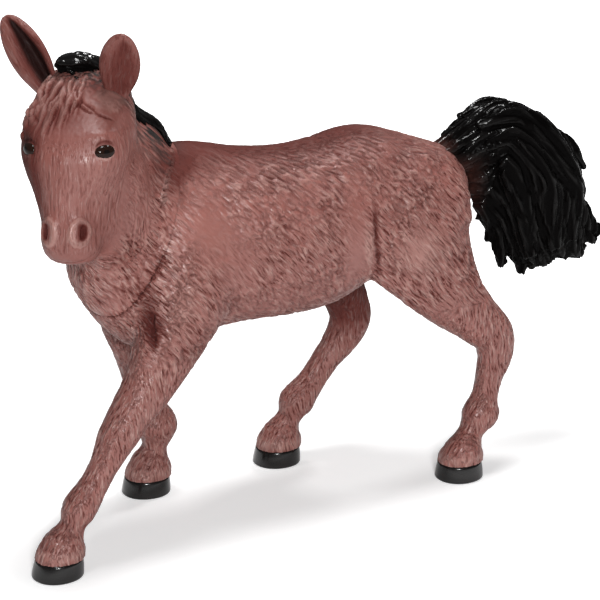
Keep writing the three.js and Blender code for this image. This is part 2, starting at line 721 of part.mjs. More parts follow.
function bodyCasting(outer) {
  let shell = outer.subtract(headSide(-fit / 2));
  const hollow = trunk(-wall, coarse, cavitySides).add(neck(-wall, coarse, cavitySides));
  const cavity = hollow.subtract(headSide(-fit / 2 - wall));
  shell = shell.subtract(cavity).subtract(collarHole()).subtract(tailPeg(fit));
  for (const leg of Object.values(legs)) shell = shell.subtract(peg(leg, fit));
  return shell;
}

function headCasting(outer) {
  const past = headSide(fit / 2);
  const throat = neck(-headWall, coarse, cavitySides).intersect(headSide(fit / 2 + wall));
  const cavity = throat.add(headForm(headShares, -headWall, coarse, cavitySides, headPower));
  let casting = outer.add(skull(0)).intersect(past).subtract(cavity).add(plug()).subtract(plugHole());
  for (const side of [1, -1]) casting = casting.subtract(eye(side, fit)).subtract(nostril(side));
  return casting;
}

function legCasting(leg, body) {
  return legSkin(leg).subtract(body).subtract(headSide(-fit)).add(peg(leg, 0));
}

// A solid as a named mesh
function piece(name, solid, kind) {
  const { numProp, vertProperties, triVerts } = solid.getMesh();
  const positions = new Float32Array((vertProperties.length / numProp) * 3);
  for (let i = 0; i < positions.length / 3; i++)
    for (let k = 0; k < 3; k++) positions[3 * i + k] = vertProperties[numProp * i + k];
  const geometry = new THREE.BufferGeometry()
    .setAttribute("position", new THREE.BufferAttribute(positions, 3))
    .setIndex(new THREE.BufferAttribute(triVerts, 1));
  const look = { color: colours[kind], roughness: finishes[kind], metalness: 0 };
  const material = new THREE.MeshStandardMaterial(look);
  const mesh = new THREE.Mesh(geometry, material);
  mesh.name = name;
  return mesh;
}

function buildFoal() {
  const foal = new THREE.Group();
  const outer = trunk(0).add(neck(0));
  const grown = trunk(fit).add(neck(fit));
  const headSolid = headCasting(outer);
  const headGrown = grown.add(skull(fit)).intersect(headSide(0));
  foal.add(piece("torso_shell", bodyCasting(outer), "skin"));
  foal.add(piece("head_and_neck", headSolid, "skin"));
  for (const [name, pose] of Object.entries(earPoses))
    foal.add(piece(name + "_ear", ear(pose).subtract(headGrown), "skin"));
  foal.add(piece("mane", mane().subtract(headGrown).intersect(headSide(fit)), "black"));
  foal.add(piece("left_eye", eye(1, 0), "eye"));
  foal.add(piece("right_eye", eye(-1, 0), "eye"));
  for (const [name, leg] of Object.entries(legs)) {
    foal.add(piece(name + "_leg", legCasting(leg, grown), "skin"));
    foal.add(piece(name + "_hoof", hoof(leg), "black"));
  }
  foal.add(piece("tail", tail().subtract(grown).add(tailPeg(0)), "black"));
  return foal;
}

const part = new THREE.Group();
const foal = buildFoal();
const box = new THREE.Box3().setFromObject(foal);
const middle = box.getCenter(new THREE.Vector3());
foal.position.set(-middle.x, -middle.y, -box.min.z);
part.add(foal);

export default part;
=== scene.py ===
"""A toy foal in soft vinyl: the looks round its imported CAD.

The skins are worked out in millimetres in the CAD's own axes (head towards -X, the foal's left towards
-Y, +Z up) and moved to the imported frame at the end.
"""

import json
import math

import bpy
import numpy as np
from mathutils import Matrix, Vector


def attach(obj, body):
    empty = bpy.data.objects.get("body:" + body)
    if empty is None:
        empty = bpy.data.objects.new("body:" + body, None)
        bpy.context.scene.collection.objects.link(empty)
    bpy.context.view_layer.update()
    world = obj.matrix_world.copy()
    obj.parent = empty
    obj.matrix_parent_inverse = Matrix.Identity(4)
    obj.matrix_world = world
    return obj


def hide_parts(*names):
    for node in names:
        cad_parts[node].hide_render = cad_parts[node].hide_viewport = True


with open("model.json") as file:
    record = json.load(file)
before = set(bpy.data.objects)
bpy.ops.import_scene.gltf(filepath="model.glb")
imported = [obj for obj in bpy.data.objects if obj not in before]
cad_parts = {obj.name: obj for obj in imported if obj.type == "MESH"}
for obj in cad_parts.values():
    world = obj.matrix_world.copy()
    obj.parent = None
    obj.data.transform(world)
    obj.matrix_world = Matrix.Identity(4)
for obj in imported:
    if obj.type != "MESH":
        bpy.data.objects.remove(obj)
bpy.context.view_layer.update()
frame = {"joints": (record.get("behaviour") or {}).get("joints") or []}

# Sizes in millimetres, from the CAD's tables
BODY_LENGTH, BODY_WIDTH, CROUP_HEIGHT = 100.0, 40.0, 100.0
BODY = np.array([BODY_LENGTH, BODY_WIDTH, CROUP_HEIGHT])
LEG = 10.0  # what the legs' tables are shares of
HEAD_LENGTH, HEAD_WIDTH, HEAD_DEPTH = 50.0, 22.0, 28.0
MUSCLE_RISE = 0.5
# Powers of the ovals: lower half of trunk and neck, upper half of the neck, head, jowl, legs and hooves, hair
BELLY_POWER, NECK_POWER, HEAD_POWER, JOWL_POWER, LEG_POWER, HAIR_POWER = 2.15, 1.6, 2.2, 1.5, 2.1, 2.0
EAR_LENGTH, EAR_WIDTH, EAR_THICKNESS, EAR_WALL = 22.0, 10.5, 5.4, 0.9
HOOF_HEIGHT, HOOF_LENGTH, HOOF_WIDTH, HOOF_FLARE = 5.4, 14.2, 12.8, 0.7
HOOF_LEAN = 0.35  # share of the way from the sole's middle to the leg's last row
MANE_HEIGHT, MANE_WIDTH = 5.0, 5.0
TAIL_WIDTH, TAIL_THICKNESS = 30.0, 16.0
LOCK_WIDTH, LOCK_THICKNESS, LOCK_RISE = 7.4, 4.6, 1.2

# Sizes of the drawn skins
SEAM_GAP = 0.14  # between the skins of body and neck
SEAM_LIP = 0.45  # width of the lips that roll in at the seam
SEAM_STRIP = 2.5  # width below the seam that is all torso
CORONET = 4.7  # height of the brown skin's lower edge over the hoof
LEG_REACH = 12.0  # all that belongs to a leg lies within it of the leg's middle line
LEGS_ONLY = 50.0  # height below which there is no trunk
CUT_REACH = 1.2  # how far an edge may lie from the plane that it is drawn onto
EYE_LENGTH, EYE_TALL, EYE_DEPTH, EYE_SINK = 2.6, 1.75, 1.25, 0.75
BODY_VOXEL, HEAD_VOXEL, MANE_VOXEL, TAIL_VOXEL = 0.74, 0.68, 0.3, 0.36
MANE_RELIEF, TAIL_RELIEF = 0.14, 0.2  # height of the combed hair
# How much of the CAD's depth and width the hair has under its strands
MANE_CORE, TAIL_CORE, LOCK_CORE = (0.85, 0.9), (0.93, 0.92), 0.9
# Grids: rows for each given one, and points round each ring
STEPS, TRUNK_SIDES, NECK_SIDES, JOWL_SIDES, LEG_SIDES = 6, 72, 56, 48, 36
MANE_SIDES, TAIL_STEPS, TAIL_SIDES, MAIN_LOCK_SIDES = 24, 5, 40, 20
LOCK_STEPS, LOCK_SIDES = 5, 8
EAR_STEPS, EAR_SIDES = 10, 40
EYE_RINGS, EYE_SIDES = 28, 40
HOOF_STEPS, HOOF_SIDES = 3, 48
# Rows of the neck that the body's skin needs, and of the legs that the head's skin needs
BODY_NECK_ROWS, HEAD_LEG_ROWS = 21, 24
HEAD_TRUNK_END = -0.25  # how far back the head's skin needs the trunk, along it
# How many locks, curls and strands
FORELOCK_LOCKS, TEMPLE_CURLS, NECK_STRANDS, MANE_LOCKS, TAIL_STRANDS = 52, 16, 11, 44, 110
# Hairs: length, breadth
COAT_HAIR, FINE_COAT_HAIR = (3.6, 0.56), (3.4, 0.5)
FACE_HAIR, FINE_FACE_HAIR, CREST_HAIRS = (4.5, 0.8), (4.0, 0.6), (6.0, 0.8)
# Seeds of the random draws
SEEDS = {
    "coat": 50, "patches": 61, "face": 71, "crest": 72, "pores": 73, "fine coat": 80, "fine face": 90,
    "fine ear": 95, "tufts": 5, "forelock": 17, "temple": 23, "neck": 37, "mane": 31, "tail": 8,
    "mane comb": 41, "tail comb": 42,
}
BOTH = (1, -1)  # a side as given, and mirrored to the other one
ACROSS, UP = np.array([0, 1.0, 0]), np.array([0, 0, 1.0])
MM = 1000  # millimetres in a metre

JOINT = frame["joints"][0]
JOINT_AT = np.array([-48.5, -1.0, 83.0])
JOINT_AXIS = np.array(JOINT["axis"], float)
JOINT_AXIS /= np.linalg.norm(JOINT_AXIS)
SHIFT = np.array(JOINT["pos_m"], float) * MM - JOINT_AT

# Trunk: along, top, bottom, half width, height of the widest place, power of the upper half
TRUNK = [
    [-0.645, 0.76, 0.7, 0.12, 0.5, 2], [-0.615, 0.84, 0.64, 0.24, 0.48, 1.9],
    [-0.57, 0.91, 0.575, 0.31, 0.44, 1.8], [-0.51, 0.965, 0.52, 0.355, 0.42, 1.65],
    [-0.44, 1.01, 0.5, 0.38, 0.4, 1.5], [-0.36, 1.035, 0.512, 0.4, 0.4, 1.45],
    [-0.27, 1.02, 0.528, 0.43, 0.42, 1.6], [-0.17, 0.996, 0.532, 0.46, 0.44, 1.85],
    [-0.06, 0.98, 0.526, 0.47, 0.45, 2], [0.05, 0.982, 0.53, 0.465, 0.47, 2],
    [0.14, 1.0, 0.555, 0.43, 0.5, 1.9], [0.22, 0.996, 0.592, 0.395, 0.53, 1.9],
    [0.31, 0.966, 0.618, 0.365, 0.55, 2], [0.39, 0.935, 0.63, 0.335, 0.56, 2],
    [0.45, 0.91, 0.655, 0.29, 0.56, 2], [0.49, 0.87, 0.69, 0.21, 0.56, 2],
    [0.51, 0.83, 0.74, 0.1, 0.56, 2],
]
# Neck: crest, throat, half width; the lower rows on the body, the upper ones on the head
LOWER_NECK = [
    [[-0.27, 0.0, 0.93], [-0.47, 0.02, 0.58], 0.35], [[-0.37, 0.0, 1.03], [-0.61, 0.09, 0.65], 0.37],
    [[-0.415, -0.005, 1.09], [-0.65, 0.03, 0.77], 0.31],
]
UPPER_NECK = [
    [[-1.1, 0.64, 0.165], [-0.735, -0.55, -0.385], 0.49],
    [[-0.9, 0.36, 0.275], [-0.53, -0.4, -0.225], 0.43],
    [[-0.7, 0.25, 0.315], [-0.28, -0.38, -0.09], 0.36],
]
# Head: up, front, back, half width, how far forward the widest place lies, how far left the middle lies
HEAD = [
    [0.395, -0.66, -0.86, 0.4, 0.5, -0.12], [0.355, -0.54, -0.93, 0.78, 0.5, -0.1],
    [0.275, -0.4, -0.97, 1.02, 0.5, -0.06], [0.17, -0.21, -0.98, 1.18, 0.52, -0.03],
    [0.08, -0.07, -0.97, 1.26, 0.54, -0.02], [-0.02, 0.0, -0.94, 1.24, 0.54, -0.02],
    [-0.1, 0.0, -0.88, 1.13, 0.49, -0.04], [-0.19, -0.01, -0.79, 0.95, 0.43, -0.05],
    [-0.28, -0.02, -0.66, 0.78, 0.38, -0.06], [-0.35, -0.01, -0.58, 0.68, 0.41, -0.04],
    [-0.415, 0.0, -0.52, 0.67, 0.48, -0.02], [-0.47, -0.03, -0.48, 0.64, 0.51, 0],
    [-0.52, -0.09, -0.44, 0.52, 0.5, 0], [-0.545, -0.16, -0.38, 0.28, 0.5, 0],
]
# Left jowl, in the same shares
JOWL = [
    [0.05, -0.45, -0.85, 0.5, 0.3, 0.5], [-0.06, -0.3, -0.96, 0.72, 0.25, 0.5],
    [-0.18, -0.22, -1.0, 0.8, 0.22, 0.48], [-0.3, -0.2, -1.02, 0.8, 0.2, 0.46],
    [-0.4, -0.24, -1.02, 0.76, 0.2, 0.44], [-0.48, -0.38, -1.0, 0.68, 0.22, 0.42],
    [-0.55, -0.56, -0.97, 0.52, 0.3, 0.38], [-0.61, -0.72, -0.92, 0.3, 0.4, 0.34],
]
# Ear: along it, half width, half thickness
EAR = [
    [-0.16, 0.3, 0.5], [0.0, 0.46, 0.8], [0.16, 0.68, 1.0], [0.36, 0.93, 1.0], [0.56, 1.0, 0.86],
    [0.74, 0.89, 0.66], [0.88, 0.66, 0.44], [0.96, 0.42, 0.28], [1.0, 0.16, 0.12],
]
# Legs: along, across, height, depth and width in shares of LEG
FORE_LEFT = [
    [-0.3, -0.22, 0.89, 1.4, 0.7], [-0.345, -0.27, 0.79, 2.5, 1.15], [-0.39, -0.31, 0.67, 2.5, 1.4],
    [-0.445, -0.33, 0.56, 1.9, 1.3], [-0.51, -0.35, 0.455, 1.4, 1.15],
    [-0.567, -0.37, 0.39, 1.12, 1.06], [-0.61, -0.385, 0.335, 1.0, 1.0],
    [-0.645, -0.395, 0.28, 0.78, 0.78], [-0.68, -0.4, 0.225, 0.72, 0.72],
    [-0.728, -0.41, 0.165, 0.88, 0.88], [-0.75, -0.412, 0.122, 0.64, 0.68],
    [-0.774, -0.414, 0.088, 1.04, 1.05],
]
FORE_RIGHT = [
    [-0.31, 0.22, 0.89, 1.4, 0.7], [-0.36, 0.27, 0.79, 2.5, 1.1], [-0.41, 0.31, 0.67, 2.4, 1.3],
    [-0.425, 0.35, 0.55, 1.8, 1.2], [-0.405, 0.39, 0.45, 1.34, 1.1], [-0.385, 0.42, 0.385, 1.2, 1.04],
    [-0.372, 0.435, 0.335, 1.12, 1.02], [-0.36, 0.44, 0.285, 0.9, 0.86],
    [-0.348, 0.45, 0.235, 0.88, 0.84], [-0.336, 0.45, 0.185, 1.18, 1.08],
    [-0.342, 0.45, 0.128, 0.66, 0.68], [-0.355, 0.45, 0.09, 1.04, 1.04],
]
HIND_LEFT = [
    [0.34, -0.2, 0.92, 1.6, 0.8], [0.32, -0.26, 0.82, 3.2, 1.3], [0.3, -0.29, 0.72, 3.5, 1.5],
    [0.35, -0.31, 0.615, 2.6, 1.42], [0.412, -0.33, 0.525, 1.9, 1.22], [0.483, -0.35, 0.45, 1.42, 1.04],
    [0.538, -0.365, 0.392, 1.22, 0.96], [0.547, -0.37, 0.335, 1.02, 0.9],
    [0.529, -0.375, 0.27, 0.76, 0.74], [0.513, -0.38, 0.215, 0.72, 0.7],
    [0.492, -0.39, 0.165, 0.95, 0.88], [0.464, -0.405, 0.122, 0.66, 0.7],
    [0.434, -0.43, 0.085, 1.05, 1.05],
]
HIND_RIGHT = [
    [0.32, 0.2, 0.92, 1.6, 0.8], [0.29, 0.26, 0.82, 3.2, 1.3], [0.25, 0.3, 0.71, 3.3, 1.5],
    [0.206, 0.34, 0.605, 2.2, 1.36], [0.226, 0.38, 0.51, 1.46, 1.14], [0.257, 0.41, 0.445, 1.22, 1.0],
    [0.273, 0.425, 0.39, 1.2, 0.96], [0.249, 0.435, 0.335, 1.02, 0.9],
    [0.198, 0.445, 0.275, 0.78, 0.76], [0.15, 0.45, 0.215, 0.78, 0.74],
    [0.103, 0.45, 0.165, 0.98, 0.92], [0.079, 0.45, 0.122, 0.64, 0.68],
    [0.055, 0.45, 0.086, 1.05, 1.05],
]
# Hair on the crest: the row of the neck, how far above the crest, height, width
CREST_HAIR = [(4, 0.6, 1, 1), (3, -0.05, 0.8, 0.9), (2, -0.05, 0.58, 0.8), (1, -0.1, 0.4, 0.6)]
# Muscles on both sides of the trunk: along, height, reach along and up
MUSCLES = [[-0.37, 0.8, 0.09, 0.12], [-0.45, 0.64, 0.05, 0.07], [0.28, 0.72, 0.09, 0.1]]
# Tuft between the ears: place on the head, height, width
TUFT = [
    [[-0.58, -0.6, 0.38], 0.45, 0.6], [[-0.6, -0.42, 0.407], 0.8, 1.1],
    [[-0.62, -0.18, 0.415], 0.95, 1.4], [[-0.7, 0.04, 0.4], 1.0, 1.3], [[-0.83, 0.22, 0.375], 1.0, 1.1],
]
# Tail: along, across, height, depth, width
TAIL = [
    [0.43, 0, 0.87, 0.28, 0.5], [0.49, 0, 0.885, 0.36, 0.6], [0.555, -0.01, 0.908, 0.47, 0.76],
    [0.62, -0.02, 0.928, 0.58, 0.9], [0.668, -0.035, 0.895, 0.72, 1.0],
    [0.718, -0.045, 0.82, 0.86, 1.0], [0.755, -0.05, 0.735, 0.98, 0.96],
    [0.77, -0.05, 0.65, 0.94, 0.88], [0.78, -0.05, 0.58, 0.78, 0.76], [0.79, -0.05, 0.53, 0.5, 0.5],
]
# Main locks: where they lie across the fan
MAIN_LOCKS = np.array([-0.62, -0.02, 0.56])
TAIL_LOCKS = [
    [[0.86, -0.05, 0.72, 0.3, 0.4], [0.92, -0.05, 0.635, 0.26, 0.34], [0.985, -0.05, 0.575, 0.08, 0.12]],
    [[0.83, -0.06, 0.64, 0.34, 0.5], [0.88, -0.06, 0.56, 0.26, 0.4], [0.925, -0.06, 0.52, 0.08, 0.14]],
    [[0.55, -0.02, 0.885, 0.3, 0.6], [0.6, -0.03, 0.8, 0.5, 0.56], [0.625, -0.04, 0.7, 0.42, 0.44],
     [0.62, -0.04, 0.61, 0.06, 0.12]],
    [[0.74, -0.05, 0.62, 0.36, 0.5], [0.725, -0.05, 0.55, 0.24, 0.4], [0.715, -0.05, 0.505, 0.08, 0.14]],
]
# Legs: rows, place of the hoof, how far it turns out
LEGS = {
    "front_left": (FORE_LEFT, (-0.792, -0.417), 12),
    "front_right": (FORE_RIGHT, (-0.367, 0.45), 0),
    "hind_left": (HIND_LEFT, (0.431, -0.405), 6),
    "hind_right": (HIND_RIGHT, (0.043, 0.45), 0),
}
# Ears: side, the way each points, the way its hollow faces, its shares of the length and the width, and
# the hollow's middle, width, depth and shade
EAR_POSES = {
    "left": (1, (0.8, 0.37, 1), (1, 0.2, 0), 1.0, 0.96, (0.2, 0.95, 0.55, -0.42)),
    "right": (-1, (-0.04, -0.65, 1), (1, 0.1, 0), 1.05, 0.92, (0.25, 0.42, 1.6, -4.0)),
}


# Surfaces on grids
def spline(rows, steps):
    """Catmull-Rom through every column: p(t) = (2 b + (c - a) t + (2 a - 5 b + 4 c - d) t^2
    + (3 b - a - 3 c + d) t^3) / 2 for four rows a, b, c, d, with `steps` rows for each given one."""
    rows = np.asarray(rows, float)
    n = len(rows)
    t = np.arange((n - 1) * steps + 1) / steps
    i = np.minimum(t.astype(int), n - 2)
    t = (t - i)[:, None]
    a, b, c, d = (rows[np.clip(i + k, 0, n - 1)] for k in (-1, 0, 1, 2))
    bend, twist = 2 * a - 5 * b + 4 * c - d, 3 * b - a - 3 * c + d
    return (2 * b + (c - a) * t + bend * t**2 + twist * t**3) / 2


def oval(sides, power):
    """u = sgn(cos a) |cos a|^(2/power), v = sgn(sin a) |sin a|^(2/power) for angles a round the circle;
    power may be a column, and the second of a pair is for the upper half."""
    a = 2 * np.pi * np.arange(sides) / sides
    c, s = np.cos(a), np.sin(a)
    low, high = power if isinstance(power, tuple) else (power, power)
    q = np.where(s > 0, 2 / np.asarray(high, float), 2 / np.asarray(low, float))
    return np.sign(c) * np.abs(c) ** q, np.sign(s) * np.abs(s) ** q


def unit(v):
    """v / |v|."""
    return v / np.maximum(np.linalg.norm(v, axis=-1, keepdims=True), 1e-9)


def rotation(axis, degrees):
    """The matrix of a turn about an axis."""
    return np.array(Matrix.Rotation(math.radians(degrees), 3, axis))


def mirror(path, side):
    """The path as given for side 1, and on the other side of the middle for -1."""
    return np.asarray(path, float) * [1, side, 1]


def heading(path):
    """Unit direction of a path at each of its points."""
    return unit(np.gradient(path, axis=0))


def columns(table, at):
    """The further columns of a table at places along its first one, straight between its rows."""
    rows = np.array(table)
    return [np.interp(at, rows[:, 0], rows[:, k]) for k in range(1, rows.shape[1])]


def past_seam(points):
    """Distance from the seam's plane, above 0 on the side of the head."""
    return (points - JOINT_AT) @ JOINT_AXIS


FACE = np.array([-0.753, -0.468, 1.108]) * BODY
HEAD_TURN = rotation("Z", 180 + 46) @ rotation("X", 2) @ rotation("Y", -10)


def on_head(points):
    """A point of the head from its distances forward, left and up: FACE + HEAD_TURN p."""
    return FACE + np.asarray(points, float) @ HEAD_TURN.T


def head_frame(points):
    """The way back: HEAD_TURN^T (p - FACE)."""
    return (points - FACE) @ HEAD_TURN


def head_place(shares, side=1):
    """A point of the head from shares of its depth, half width and length."""
    return on_head(np.asarray(shares, float) * [HEAD_DEPTH, side * HEAD_WIDTH / 2, HEAD_LENGTH])


def trunk_grid():
    """Rings across the body: y = u (half + muscles), z = middle + v (high - middle) above the widest
    place and v (middle - low) below it; a muscle is MUSCLE_RISE exp(-q), q = its squared distance."""
    rows = spline(TRUNK, STEPS)
    x, top, bottom, half, level, ridge = (rows[:, k : k + 1] for k in range(6))
    u, v = oval(TRUNK_SIDES, (BELLY_POWER, ridge))
    high, low = CROUP_HEIGHT * top, CROUP_HEIGHT * bottom
    mid = low + (high - low) * level
    z = mid + np.where(v > 0, high - mid, mid - low) * v
    out = BODY_WIDTH * half + 0 * z
    for at, height, reach, tall in MUSCLES:
        out += MUSCLE_RISE * np.exp(-(((x - at) / reach) ** 2) - ((z / CROUP_HEIGHT - height) / tall) ** 2)
    return np.stack([BODY_LENGTH * x + 0 * u, u * out, z], -1)


def neck_rows():
    """The neck's tables in millimetres, from the body to the head."""
    low = [[*(np.array(c) * BODY), *(np.array(t) * BODY), BODY_WIDTH * h] for c, t, h in LOWER_NECK]
    high = [[*head_place(c), *head_place(t), HEAD_WIDTH * h] for c, t, h in UPPER_NECK]
    return np.array(low + high)


def neck_grid():
    """Rings from crest to throat: middle + v depth deep + u half (0, 1, 0)."""
    rows = spline(neck_rows(), STEPS)
    crest, throat, half = rows[:, :3], rows[:, 3:6], rows[:, 6]
    deep = crest - throat
    depth = np.linalg.norm(deep, axis=1) / 2
    u, v = oval(NECK_SIDES, (BELLY_POWER, NECK_POWER))
    points = ((crest + throat) / 2)[:, None] + v[None, :, None] * (unit(deep) * depth[:, None])[:, None]
    points[..., 1] += u * half[:, None]
    return points


def head_grid(table, sides, power):
    """Rings across the head, in its frame: l = left + u half, f = middle + v (fore - middle) in front and
    v (middle - aft) behind."""
    up, front, back, half, level, left = spline(table, STEPS).T[..., None]
    u, v = oval(sides, power)
    fore, aft = HEAD_DEPTH * front, HEAD_DEPTH * back
    mid = aft + (fore - aft) * level
    f = mid + np.where(v > 0, fore - mid, mid - aft) * v
    return on_head(np.stack([f, (left + u * half) * HEAD_WIDTH / 2, HEAD_LENGTH * up + 0 * u], -1))


def on_face(l, u):
    """The face's skin at a distance left and up: f = middle + (fore - middle) (1 - |x|^2.2)^(1 / 2.2), with
    x the distance from the middle in half widths."""
    front, back, half, level, left = columns(HEAD[::-1], u / HEAD_LENGTH)
    fore, aft = HEAD_DEPTH * front, HEAD_DEPTH * back
    mid = aft + (fore - aft) * level
    x = np.clip(np.abs(2 * l / HEAD_WIDTH - left) / half, 0, 0.97)
    return mid + (fore - mid) * (1 - x**HEAD_POWER) ** (1 / HEAD_POWER)


def limb_grid(middle, depth, width, level, sides, power):
    """Rings square to a path: middle + u depth / 2 deep + v width / 2 wide, with deep = y x along and
    wide = along x deep, and along turned level with the ground by the share `level`."""
    along = unit(heading(middle) * (1 - level[:, None]) - UP * level[:, None])
    deep = unit(np.cross(ACROSS, along))
    wide = unit(np.cross(along, deep))
    u, v = oval(sides, power)
    return (
        middle[:, None]
        + u[None, :, None] * (deep * depth[:, None] / 2)[:, None]
        + v[None, :, None] * (wide * width[:, None] / 2)[:, None]
    )


def smoothstep(x, low, high):
    """t^2 (3 - 2 t), with t running from 0 at low to 1 at high."""
    t = np.clip((x - low) / (high - low), 0, 1)
    return t * t * (3 - 2 * t)


NOISE_CELLS, NOISE_SPREAD = 1024, 0.27


def noise(q, seed):
    """Gradient noise of about unit strength: over the corners of each cell, the sum of (g . d) times
    (1 - s) or s for each axis, with g a seeded direction for the corner, d the way from it and
    s(t) = 6 t^5 - 15 t^4 + 10 t^3."""
    rng = np.random.default_rng(seed)
    pick = rng.permutation(NOISE_CELLS)
    lean = unit(rng.standard_normal((NOISE_CELLS, 3)))
    cell = np.floor(q).astype(int)
    f = q - cell
    s = f**3 * (f * (6 * f - 15) + 10)
    total = np.zeros(len(q))
    for corner in np.ndindex(2, 2, 2):
        i, j, k = ((cell + corner) % NOISE_CELLS).T
        g = lean[pick[(pick[(pick[i] + j) % NOISE_CELLS] + k) % NOISE_CELLS]]
        total += np.where(np.array(corner, bool), s, 1 - s).prod(1) * ((f - corner) * g).sum(1)
    return total / NOISE_SPREAD


def drawn_out(p, way, seed, hair):
    """Places in the hair's own measure: (p . way / long, p . side / broad, p . third / broad), bent a
    little by slow noise."""
    long, broad = hair
    way = unit(np.array(way, float))
    side = unit(np.cross(way, [0.3, 1.0, 0.2]))
    basis = np.stack([way / long, side / broad, np.cross(way, side) / broad], 1)
    return (p + 0.3 * noise(p / 6, seed + 100)[:, None] * side) @ basis


def strands(p, way, seed, hair):
    """Noise drawn out along a direction, for short hairs."""
    return noise(drawn_out(p, way, seed, hair), seed)


def leg_side(name):
    """-1 for the foal's left, 1 for its right."""
    return np.sign(LEGS[name][1][1])


def hoof_lean(name):
    """How far a hoof leans towards its leg from sole to top, as a share of the body's length."""
    rows, (hx, _), _ = LEGS[name]
    return HOOF_LEAN * (rows[-1][0] - hx)


def leg_grid(name):
    """The leg's table, carried on to the hoof's top, with its rings turned level from the pastern down."""
    rows, (hx, hy), _ = LEGS[name]
    lean = hoof_lean(name)
    top_length, top_width = (HOOF_LENGTH - 2 * HOOF_FLARE) / LEG, (HOOF_WIDTH - 2 * HOOF_FLARE) / LEG
    foot = [hx + lean, hy, (HOOF_HEIGHT + SEAM_GAP) / CROUP_HEIGHT, top_length, top_width]
    sole = [hx + 0.4 * lean, hy, 0.02, top_length * 1.02, top_width * 1.02]
    table = spline(rows + [foot, sole], STEPS)
    start = CROUP_HEIGHT * rows[-1][2] + 0.06 * CROUP_HEIGHT
    z = CROUP_HEIGHT * table[:, 2]
    level = smoothstep(start - z, 0, start - HOOF_HEIGHT - SEAM_GAP)
    return limb_grid(table[:, :3] * BODY, LEG * table[:, 3], LEG * table[:, 4], level, LEG_SIDES, LEG_POWER)


def lock_grid(path, width, thick, out, ends=(0.25, 0.06)):
    """A tapered lock of hair along a path: half width w = width (e0 + (1 - e0) sin(pi t)^0.6) that runs
    out to e1 at the tip, flattened square to `out`."""
    path = spline(path, LOCK_STEPS)
    t = np.linspace(0, 1, len(path))
    swell = ends[0] + (1 - ends[0]) * np.sin(np.pi * np.clip(t * 1.1 + 0.08, 0, 1)) ** 0.6
    swell = np.where(t > 0.5, np.maximum(swell * (1 - ends[1]), 0) + ends[1], swell)
    along = heading(path)
    side = unit(np.cross(np.asarray(out, float), along))
    rise = np.cross(along, side)
    a = 2 * np.pi * np.arange(LOCK_SIDES) / LOCK_SIDES
    return (
        path[:, None]
        + (np.cos(a)[None, :, None] * side[:, None]) * (width / 2 * swell)[:, None, None]
        + (np.sin(a)[None, :, None] * rise[:, None]) * (thick / 2 * swell)[:, None, None]
    )


def closed(grid):
    """Points and faces of a tube through the rings of a grid, with a fan over each end."""
    n, m = grid.shape[:2]
    i, j = np.meshgrid(np.arange(n - 1), np.arange(m), indexing="ij")
    a, b = (i * m + j).ravel(), (i * m + (j + 1) % m).ravel()
    quads = np.stack([a, b, b + m, a + m], 1)
    points = np.vstack([grid.reshape(-1, 3), grid[0].mean(0), grid[-1].mean(0)])
    k = np.arange(m)
    first = np.stack([(k + 1) % m, k, np.full(m, n * m)], 1)
    last = np.stack([k, (k + 1) % m, np.full(m, n * m + 1)], 1) + np.array([(n - 1) * m, (n - 1) * m, 0])
    return points, quads, np.vstack([first, last])


def raw_mesh(name, points, quads, triangles=None):
    """A mesh from arrays of points and faces."""
    triangles = np.empty((0, 3), int) if triangles is None else triangles
    mesh = bpy.data.meshes.new(name)
    loops = np.concatenate([quads.ravel(), triangles.ravel()]).astype(np.int32)
    sizes = np.concatenate([np.full(len(quads), 4), np.full(len(triangles), 3)])
    mesh.vertices.add(len(points))
    mesh.vertices.foreach_set("co", np.ascontiguousarray(points, np.float32).ravel())
    mesh.loops.add(len(loops))
    mesh.loops.foreach_set("vertex_index", loops)
    mesh.polygons.add(len(sizes))
    starts = np.concatenate([[0], np.cumsum(sizes)[:-1]]).astype(np.int32)
    mesh.polygons.foreach_set("loop_start", starts)
    mesh.update(calc_edges=True)
    mesh.validate()
    return mesh


def evaluated(mesh, name, kind, **settings):
    """The mesh after one modifier, as a new mesh."""
    obj = bpy.data.objects.new(name, mesh)
    bpy.context.scene.collection.objects.link(obj)
    modifier = obj.modifiers.new(name, kind)
    for key, value in settings.items():
        setattr(modifier, key, value)
    graph = bpy.context.evaluated_depsgraph_get()
    result = bpy.data.meshes.new_from_object(obj.evaluated_get(graph))
    bpy.data.objects.remove(obj)
    bpy.data.meshes.remove(mesh)
    return result


def fused(grids, voxel):
    """One closed skin round all the tubes."""
    points, quads, triangles, start = [], [], [], 0
    for grid in grids:
        p, q, t = closed(grid)
        points.append(p)
        quads.append(q + start)
        triangles.append(t + start)
        start += len(p)
    mesh = raw_mesh("fused", np.vstack(points), np.vstack(quads), np.vstack(triangles))
    return Skin(evaluated(mesh, "fuse", "REMESH", mode="VOXEL", voxel_size=voxel))


